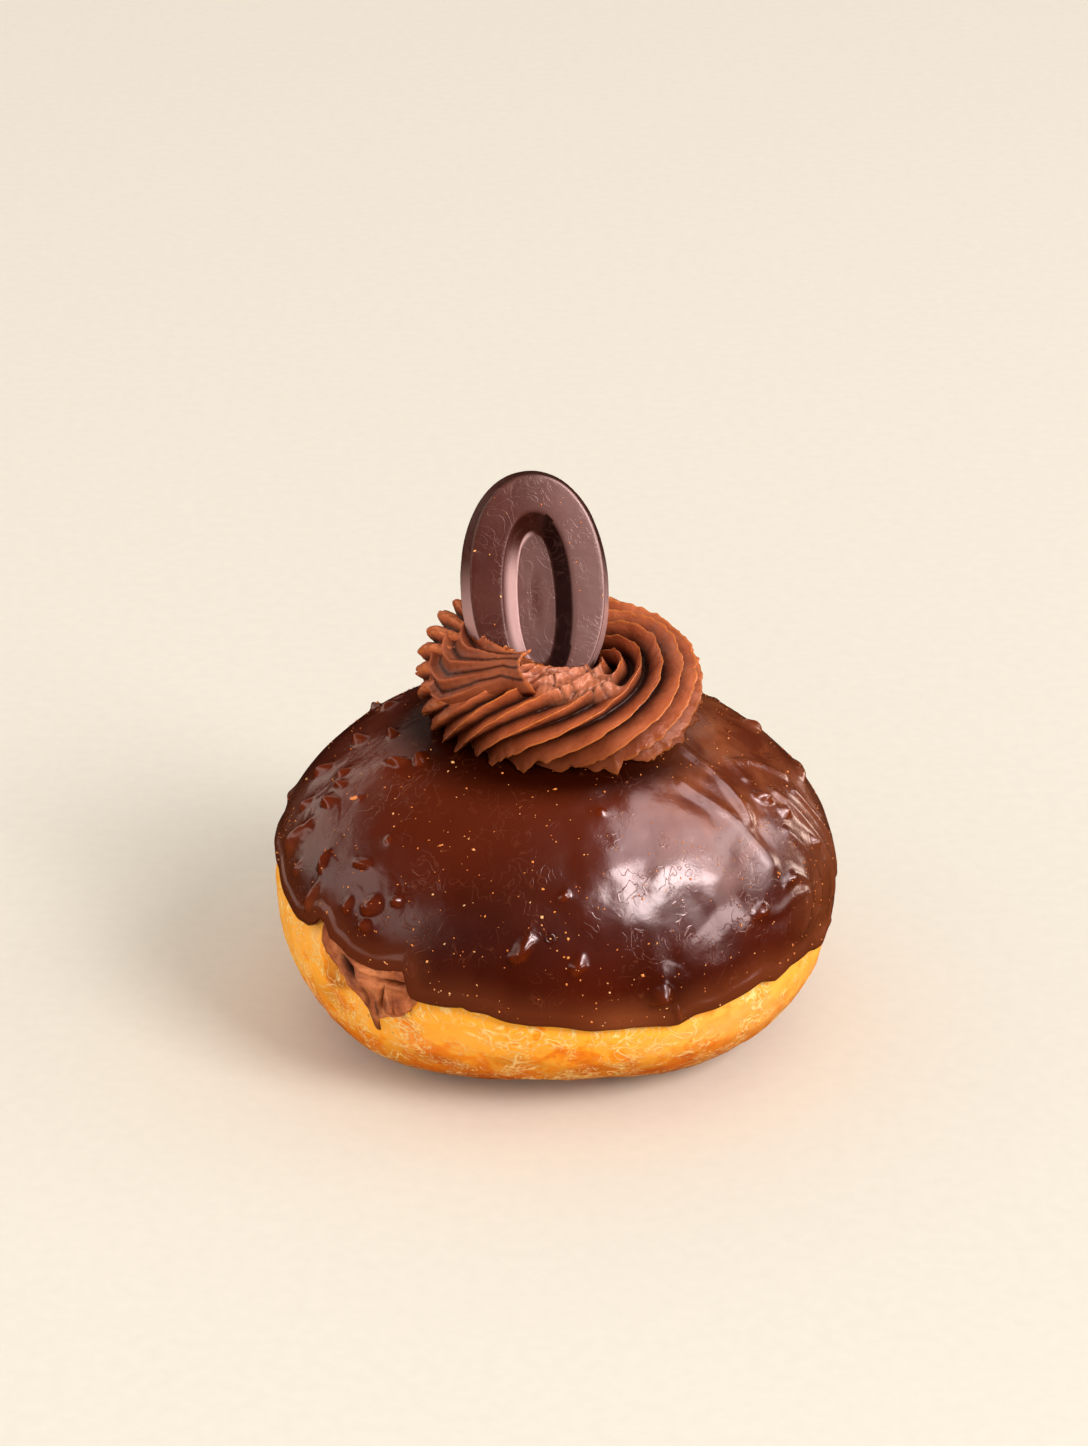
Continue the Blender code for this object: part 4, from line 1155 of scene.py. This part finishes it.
def dome_level(points):
    """Height of the glaze's top under each point."""
    angle = np.degrees(np.arctan2(points[..., 1], points[..., 0]))
    share = np.hypot(points[..., 0], points[..., 1]) / (BODY_RADIUS * (1 + unevenness(angle)))
    return WIDEST_LEVEL + BODY_RISE * np.sqrt(np.clip(1 - share ** 2, 0, 1))


DROP_HALF_WIDTH = 10.0 * MM
DROP_HALF_LENGTH = 16.4 * MM
DROP_THICKNESS = 5.0 * MM
DROP_DRAFT = 1.1 * MM
DROP_POWER = 2.1
DROP_FACE_CENTRE = np.array((-2.25, -1.2, 71.9)) * MM
DROP_TURN_MATRIX = np.array(Matrix.Rotation(math.radians(6.6), 3, "Z")
                            @ Matrix.Rotation(math.radians(-29.0), 3, "X"))


def keep_off_oval(points):
    """Push points that lie inside the oval's place out through its nearer face."""
    local = (points - DROP_FACE_CENTRE) @ DROP_TURN_MATRIX
    grow = DROP_DRAFT * np.clip(local[..., 1] / DROP_THICKNESS, 0, 1) + GAP
    reach = oval_share(local[..., 0], local[..., 2], DROP_HALF_WIDTH + grow,
                       DROP_HALF_LENGTH + grow, DROP_POWER)
    front = local[..., 1] + 2 * GAP
    rear = DROP_THICKNESS + GAP - local[..., 1]
    side = (1 - reach) * DROP_HALF_WIDTH
    inside = (reach < 1) & (front > 0) & (rear > 0)
    nearest = np.argmin(np.stack([front, rear, side]), axis=0)
    moved = local.copy()
    moved[..., 1] = np.where(inside & (nearest == 0), -2 * GAP, moved[..., 1])
    moved[..., 1] = np.where(inside & (nearest == 1), DROP_THICKNESS + GAP, moved[..., 1])
    grown = np.where(inside & (nearest == 2), 1 / np.maximum(reach, 0.3), 1.0)
    moved[..., 0] *= grown
    moved[..., 2] *= grown
    return moved @ DROP_TURN_MATRIX.T + DROP_FACE_CENTRE


floor_of_ring = dome_level(ring) + CREAM_GAP
ring[..., 2] = np.maximum(ring[..., 2], floor_of_ring)
ring = keep_off_oval(ring)
print("ring stands from", round(float(ring[..., 2].min()) / MM, 1), "to",
      round(float(ring[..., 2].max()) / MM, 1), "mm")

# %% [markdown]
# After one round the ridges have moved on by a whole number of places, so the last row is joined to
# the first with that shift. The marks for the finish are crest, which runs from valley to ridge,
# dry for the stroked cream, and dim for the shade under the rope.

# %% Ring mesh and its marks
count = RIDGES * PER_RIDGE
index = np.arange(RING_STEPS * count).reshape(RING_STEPS, count)
ahead = np.roll(index, -1, axis=0)
ahead[-1] = np.roll(index[0], -RIDGE_TURNS * PER_RIDGE)
beside = np.roll(index, -1, axis=1)
ahead_beside = np.roll(ahead, -1, axis=1)
quads = np.stack([index, ahead, ahead_beside, beside], -1).reshape(-1, 4)
dry = np.clip(0.85 * pale, 0, 1)
dim = smooth(-theta, -26, 32) * (1 - 0.25 * hump(phi, 300, 330, 15))
edge_mark = np.where(hood > 0.4, 0.75, (1 - share) ** (1.5 - 0.6 * front + 0.5 * open_ridges))
edge_mark = np.where(petals > 0.5, np.clip(1.5 * (1 - share), 0, 0.9), edge_mark)
# In the stroked zone the cracks get a low mark, which the finish turns into painted shade.
edge_mark = edge_mark * (1 - pale) + (0.76 - 0.62 * crack) * pale
rosette = make_object("piped_ring", ring.reshape(-1, 3), quads.tolist(),
                      {"crest": edge_mark.ravel(), "dry": dry.ravel(), "dim": dim.ravel()})
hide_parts("cream_rosette")
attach(rosette, "root")

# %% [markdown]
# The ring's hole is full of cream, and the oval stands in it. Almost nothing of it shows, so a low
# plug of circles, narrowing to the top and resting on the glaze, is enough.

# %% Cream under the oval
CORE_STEPS = 48
CORE_PROFILE = [(3, 57.2), (7, 57.0), (9.6, 56.8), (9.9, 56.0)]  # (radius, level) in mm
core_turn = np.linspace(0, 2 * math.pi, CORE_STEPS, endpoint=False)
core_rows = []
for radius, level in CORE_PROFILE:
    circle = np.stack([RING_CENTRE_X + radius * MM * np.cos(core_turn),
                       radius * MM * np.sin(core_turn), np.full(CORE_STEPS, level * MM)], -1)
    core_rows.append(circle)
foot = core_rows[-1].copy()
foot[:, 2] = dome_level(foot) + CREAM_GAP
core_rows.append(foot)
core_grid = keep_off_oval(np.stack(core_rows))
core = closed_grid("cream_core", core_grid, (RING_CENTRE_X, 0.0, 57.2 * MM),
                   (RING_CENTRE_X, 0.0, WIDEST_LEVEL + BODY_RISE + CREAM_GAP))
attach(core, "root")

# %% [markdown]
# Where the bag was pulled away the rope ends in a thin tongue that is folded over the ring and
# drawn out to a point. It is a sheet between an upper and a lower guide line, both given by the
# angle round the ring, the angle on the rope's section and how far the line stands off the ridges.
# Bound to the rope in this way it follows the ring when the ring's form is changed.

# %% Tongue at the end of the rope
TONGUE_TOP = np.array([  # (angle round, angle on the section, mm off the ridges)
    (176, 104, -1.6), (192, 98, -0.3), (208, 95, 0.5), (224, 93, 1.1), (238, 91, 1.8),
    (250.5, 88, 2.9)])
TONGUE_LOW = np.array([
    (188, 20, -2.6), (200, 12, -1.6), (212, 14, -0.7), (226, 36, -0.4), (240, 58, 0.0),
    (257, 58, 0.3)])
TONGUE_COLUMNS = 170
TONGUE_ROWS = 90
along = np.linspace(0, 1, TONGUE_COLUMNS)[None, :]
aside = np.linspace(0, 1, TONGUE_ROWS)[:, None]


def guide(line, column):
    return np.interp(along[0], np.linspace(0, 1, len(line)), line[:, column])[None, :]


tongue_phi, tongue_theta, tongue_off = [
    guide(TONGUE_TOP, k) * (1 - aside) + guide(TONGUE_LOW, k) * aside for k in range(3)]
tongue_phi = tongue_phi - 6.5 * np.sin(np.pi * aside) ** 0.8 * along ** 6
flat_tongue = rope_place(tongue_phi, tongue_theta, -tongue_off * MM)
fan = np.abs(np.mod(aside * 4.2 + 0.25 * noise(flat_tongue, 9 * MM, 81), 1.0) - 0.5) * 2
streaks = 1.3 * fan ** 3 * (1 - smooth(along, 0.30, 0.75)) + 0.30 * fan ** 4
tongue_off = tongue_off + 0.7 * np.sin(np.pi * aside) * (0.4 + 0.6 * along)
tongue_off = tongue_off - 1.1 * smooth(aside, 0.9, 1.0) + streaks
tongue_off += 0.16 * noise(flat_tongue, 2.2 * MM, 82) + 0.07 * noise(flat_tongue, 0.9 * MM, 83)
pits = np.maximum(noise(flat_tongue, 1.3 * MM, 84) - 0.62, 0) * 1.6
tongue_off = tongue_off - pits + 0.25 * smooth(along, 0.93, 1.0)
tongue_phi = tongue_phi + 0.9 * noise(flat_tongue, 1.5 * MM, 85) * smooth(along, 0.9, 1.0)
tongue_face = rope_place(tongue_phi, tongue_theta, -tongue_off * MM)
thickness = 0.55 + 2.2 * smooth(1 - along, 0.0, 0.35) + 0.8 * aside
tongue_back = rope_place(tongue_phi, tongue_theta, -(tongue_off - thickness) * MM)
tongue_edge = smooth(-aside, -0.05, -0.01) * smooth(along, 0.1, 0.3)
tongue_edge = np.maximum(smooth(along, 0.955, 0.995), tongue_edge)
tongue_edge = np.maximum(tongue_edge, 0.75 * smooth(fan, 0.8, 1.0) * (1 - smooth(along, 0.4, 0.8)))
tongue_crest = tongue_edge * 0.5 + 0.1 + 0.4 * np.minimum(fan * 2, 1)
tongue = sheet_solid("cream_tongue", keep_off_oval(tongue_face), keep_off_oval(tongue_back),
                     {"crest": np.clip(tongue_crest, 0, 1),
                      "dry": np.zeros_like(fan), "dim": np.full_like(fan, 0.25)})
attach(tongue, "root")

# %% [markdown]
# Whipped chocolate cream is satin: its crests are lit and warm, its valleys nearly black, and where
# it was stroked flat it has dried pale. The marks on the mesh carry all three: a painted highlight
# of warm orange along the crests, painted shade in the valleys, cracks and under the rope, and the
# pale of the dried cream. Light alone would make the valleys too pale.

# %% Cream finish
material, tree, shader = new_material("chocolate_cream")
coordinates = place_on(tree)
crest_mark = mark_node(tree, "crest")
dry_mark = mark_node(tree, "dry")
tone = noise_node(tree, coordinates, 3 * MM, 4.0, 0.2, 0.6)
base = ramp(tree, tone, [(0.3, (0.385, 0.082, 0.028)), (0.7, (0.630, 0.175, 0.070))])
# Painted highlight of warm orange along the crests.
edge = ramp(tree, crest_mark, [(0.84, 0.0), (0.97, 1.0)])
base = tint(tree, base, edge, 0.80, (0.66, 0.185, 0.042))
# Painted shade in the valleys and cracks.
valley = ramp(tree, crest_mark, [(0.13, 1.0), (0.42, 0.50), (0.76, 0.0)])
base = tint(tree, base, valley, 0.96, (0.016, 0.0016, 0.0004))
# Painted shade under the rope.
dim_mark = mark_node(tree, "dim")
base = tint(tree, base, dim_mark, 0.84, (0.075, 0.012, 0.003))
speckle = ramp(tree, noise_node(tree, coordinates, 0.35 * MM, 3.0), [(0.35, 0.4), (0.65, 1.0)])
dry_share = times(tree, times(tree, dry_mark, speckle), 0.70)
base = mix_colour(tree, dry_share, base, (0.54, 0.215, 0.120))
tree.links.new(base, shader.inputs["Base Color"])
set_sockets(shader, {"Subsurface Weight": 0.06, "Subsurface Radius": (1.0, 0.35, 0.12),
                     "Subsurface Scale": 0.0006})
tree.links.new(ramp(tree, crest_mark, [(0.55, 0.40), (0.85, 0.26)]), shader.inputs["Roughness"])
bright_share = sum_up(tree, "SUBTRACT", 1.0, times(tree, dim_mark, 0.85))
tree.links.new(times(tree, bright_share, 0.42), shader.inputs["Specular IOR Level"])
shader.inputs["Specular Tint"].default_value = (1.0, 0.82, 0.74, 1.0)
relief = bumps(tree, noise_node(tree, coordinates, 0.45 * MM, 4.0), 0.6, 0.3 * MM)
HATCH_SCALE = 320.0
hatch = add(tree, "ShaderNodeTexWave", {
    "Vector": coordinates, "Scale": HATCH_SCALE, "Distortion": 9.0, "Detail": 2.0,
    "Detail Scale": 0.6}).outputs["Fac"]
relief = bumps(tree, times(tree, hatch, dry_mark), 0.5, 0.2 * MM, relief)
tree.links.new(relief, shader.inputs["Normal"])
for thing in (rosette, core, tongue):
    thing.data.materials.append(material)
print("cream has", len(tree.nodes), "shader nodes")

# %% [markdown]
# The oval is a moulded chocolate drop with a deep oval well. A mould leaves crisp but slightly
# rounded edges, so each edge gets a few extra rows. Boxes with bevels could be joined to such a
# form, but a list of oval outlines from back to well gives it in one piece. The floor of the well
# is left bare.

# %% Oval mesh
OVAL_SEGMENTS = 200
OVAL_ROWS = [  # (half width, half length, depth, shift, power), in mm, from the back to the well
    (5.0, 9.0, 5.0, 0, 2.1), (9.2, 15.6, 5.0, 0, 2.1), (10.6, 17.0, 5.0, 0, 2.1),
    (10.95, 17.35, 4.9, 0, 2.1), (11.1, 17.5, 4.65, 0, 2.1),
    (10.8, 17.2, 3.4, 0, 2.1), (10.5, 16.9, 2.2, 0, 2.1), (10.1, 16.5, 0.5, 0, 2.1),
    (9.98, 16.38, 0.22, 0, 2.1), (9.82, 16.22, 0.05, 0, 2.1), (9.6, 16.0, 0.0, 0, 2.1),
    (8.6, 15.2, 0.0, -0.5, 2.1), (7.4, 14.4, 0.0, -1.0, 2.15), (6.2, 13.6, 0.0, -1.6, 2.2),
    (5.6, 13.15, 0.0, -1.9, 2.2), (5.38, 12.97, 0.06, -1.9, 2.2), (5.2, 12.8, 0.25, -1.9, 2.2),
    (4.6, 12.2, 1.2, -1.9, 2.2), (3.9, 11.4, 2.2, -1.9, 2.2), (3.15, 10.3, 3.1, -1.9, 2.2),
    (2.92, 9.95, 3.38, -1.9, 2.2), (2.82, 9.82, 3.42, -1.9, 2.2), (2.7, 9.7, 3.38, -1.9, 2.2),
    (2.4, 9.3, 3.4, -1.9, 2.2), (1.2, 4.6, 3.4, -1.9, 2.2)]


def oval_ring(half_width, half_length, depth, shift, power):
    theta = np.linspace(0, 2 * math.pi, OVAL_SEGMENTS, endpoint=False)
    out, up = np.cos(theta), np.sin(theta)
    reach = (np.abs(out) ** power + np.abs(up) ** power) ** (-1 / power)
    return np.stack([half_width * out * reach, np.full_like(theta, depth),
                     half_length * up * reach + shift], -1) * MM


def finer_rows(rows, most):
    """Add rows between the listed ones until no step is longer than `most` mm."""
    result = [rows[0]]
    for before, after in zip(rows[:-1], rows[1:]):
        span = max(abs(after[0] - before[0]), abs(after[2] - before[2]))
        pieces = max(1, math.ceil(span / most))
        for k in range(1, pieces + 1):
            t = k / pieces
            result.append(tuple(b + (a - b) * t for b, a in zip(before, after)))
    return result


oval_local = np.stack([oval_ring(*row) for row in finer_rows(OVAL_ROWS, 0.5)])
oval_local = oval_local + 0.05 * MM * np.stack(
    [noise(oval_local, 4 * MM, seed) for seed in (71, 72, 73)], -1)
bulge = 1 - (oval_local[..., 0] / (9.8 * MM)) ** 2 - (oval_local[..., 2] / (16.2 * MM)) ** 2
bulge = 0.30 * MM * np.clip(bulge, 0, 1) * (oval_local[..., 1] < 3.7 * MM)
oval_local[..., 1] -= bulge
oval_world = oval_local @ DROP_TURN_MATRIX.T + DROP_FACE_CENTRE
middle_back = DROP_FACE_CENTRE + DROP_TURN_MATRIX @ np.array((0, 5.0, 0)) * MM
middle_well = DROP_FACE_CENTRE + DROP_TURN_MATRIX @ np.array((0, 3.4, -1.9)) * MM
print("oval has", len(oval_local), "outlines from back to well")

# %% [markdown]
# Moulded chocolate is so dark that light alone gives it too little shine, so the shine is painted
# into its colour: a painted sheen lies on its edges, on its face and on the wall of the well that
# faces the light, while painted shade keeps the other wall dark. Two marks carry the painted sheen
# and the painted wall shade. Each is found from how far a point is from the well's outline.

# %% Marks on the oval
WELL_POWER = 2.2
WELL_SHIFT = 1.9
oval_x = oval_local[..., 0] / MM
oval_z = oval_local[..., 2] / MM
in_well = oval_local[..., 1] > 0.1 * MM
in_well &= np.arange(len(oval_world))[:, None] > np.argmin(np.abs(oval_local[:, 0, 0] - 5.6 * MM))
wall_reach = oval_share(oval_x, oval_z + WELL_SHIFT, 5.4, 13.0, WELL_POWER)
floor_reach = oval_share(oval_x, oval_z + WELL_SHIFT, 2.85, 9.86, WELL_POWER)
on_wall = in_well * smooth(floor_reach, 1.0, 1.03)
# Painted sheen on the left wall of the well, which faces the light.
leftness = smooth(-oval_x / (wall_reach * 5.4), 0.28, 0.80) * smooth(-oval_z, -7.5, -1.0)
painted_sheen = on_wall * leftness * (1 - 0.85 * smooth(wall_reach, 0.74, 0.96))
outer_side = hump(oval_local[..., 1] / MM, 0.5, 4.9, 0.3) * ~in_well
# Painted highlight on the lower part of the outer side.
painted_sheen = np.maximum(painted_sheen, 0.75 * outer_side * smooth(-oval_z, -6, 5))
# Painted highlight along the left edge of the well's floor.
floor_rim = hump(floor_reach, 0.985, 1.01, 0.02) * in_well * smooth(-oval_x / 2.85, -0.2, 0.5)
painted_sheen = np.maximum(painted_sheen, floor_rim)
# A faint painted sheen on the well's floor.
painted_sheen = np.maximum(painted_sheen, 0.13 * in_well * (1 - smooth(floor_reach, 0.95, 1.0)))
front_face = (oval_local[..., 1] < 0.1 * MM) & ~in_well
# Painted sheen on the face, lighter to the right and at the top.
face_sheen = 0.18 * smooth(oval_x, -4, 9) + 0.03 * smooth(oval_z, 6, 14)
painted_sheen = np.maximum(painted_sheen, front_face * face_sheen)
# Painted highlight along the right part of the outer rim.
outer_rim = hump(oval_share(oval_x, oval_z, 9.75, 16.15, DROP_POWER), 0.995, 1.012, 0.01)
outer_rim = outer_rim * smooth(oval_x, -2, 6) * (oval_local[..., 1] < 0.5 * MM)
painted_sheen = np.maximum(painted_sheen, 0.45 * outer_rim)
# Painted shade on the right wall of the well and on its upper end.
right_wall = smooth(oval_x / (wall_reach * 5.4), -0.1, 0.5)
painted_wall_shade = on_wall * np.maximum(right_wall, 0.6 * smooth(oval_z, 5, 9))
oval = closed_grid("moulded_oval", oval_world, middle_back, middle_well,
                   {"painted_sheen": painted_sheen, "painted_wall_shade": painted_wall_shade})
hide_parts("chocolate_oval")
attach(oval, "root")

# %% [markdown]
# The drop is satin: smoother than the cream and duller than the glaze. Its colour is a soft mix of
# two dark browns under the painted sheen and painted shade of the two marks. Fine scuffs are drawn
# with the same curly lines as the glaze's scratches, because a mould and fingers leave marks of
# that kind.

# %% Oval finish
material, tree, shader = new_material("moulded_chocolate")
coordinates = place_on(tree)
tone = noise_node(tree, coordinates, 6 * MM, 5.0, 0.3, 0.6)
base = ramp(tree, tone, [(0.3, (0.052, 0.0095, 0.005)), (0.7, (0.088, 0.019, 0.011))])
painted_sheen_mark = mark_node(tree, "painted_sheen")
wall_shade_mark = mark_node(tree, "painted_wall_shade")
# Painted sheen and painted shade from the two marks.
base = mix_colour(tree, painted_sheen_mark, base, (0.66, 0.40, 0.38))
base = tint(tree, base, wall_shade_mark, 0.92, (0.008, 0.001, 0.0005))
scuffs = sum_up(tree, "MAXIMUM", hair_lines(tree, coordinates, 2.6 * MM, 0.040, 0.53, 2.6),
                hair_lines(tree, coordinates, 1.3 * MM, 0.040, 0.19, 1.8))
base = tint(tree, base, scuffs, 0.08, (0.42, 0.20, 0.15))
tree.links.new(base, shader.inputs["Base Color"])
tree.links.new(ramp(tree, noise_node(tree, coordinates, 1.5 * MM, 5.0), [(0.3, 0.28), (0.7, 0.40)]),
               shader.inputs["Roughness"])
plain_share = sum_up(tree, "SUBTRACT", 1.0, wall_shade_mark)
plain_share = sum_up(tree, "ADD", times(tree, plain_share, 0.45), 0.10)
tree.links.new(plain_share, shader.inputs["Specular IOR Level"])
set_sockets(shader, {"Specular Tint": (1.0, 0.77, 0.75, 1.0), "Coat Weight": 0.12,
                     "Coat Roughness": 0.28})
relief = bumps(tree, noise_node(tree, coordinates, 0.6 * MM, 5.0), 0.3, 0.2 * MM)
tree.links.new(bumps(tree, scuffs, 0.18, 0.2 * MM, relief), shader.inputs["Normal"])
oval.data.materials.append(material)
print("oval has", len(tree.nodes), "shader nodes")

# %% [markdown]
# A few crumbs stick to the drop's face. They are made like the golden specks of the glaze, at
# places drawn from the points of the flat face that aren't down in the cream.

# %% Crumbs on the oval
CRUMBS = 16
crumb_draw = np.random.default_rng(31)
on_face = np.argwhere((oval_local[..., 1] < 0.02 * MM) & (np.abs(oval_local[..., 0]) < 9.6 * MM)
                      & (oval_local[..., 2] > -9 * MM))
chosen = on_face[crumb_draw.choice(len(on_face), CRUMBS, replace=False)]
crumb_radii = crumb_draw.uniform(0.07, 0.20, CRUMBS) * MM
crumbs = scatter_bits("oval_crumbs", oval_world[chosen[:, 0], chosen[:, 1]],
                      [-DROP_TURN_MATRIX[:, 1]] * CRUMBS, crumb_radii, 32)
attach(crumbs, "root")
crumbs.data.materials.append(specks.data.materials[0])
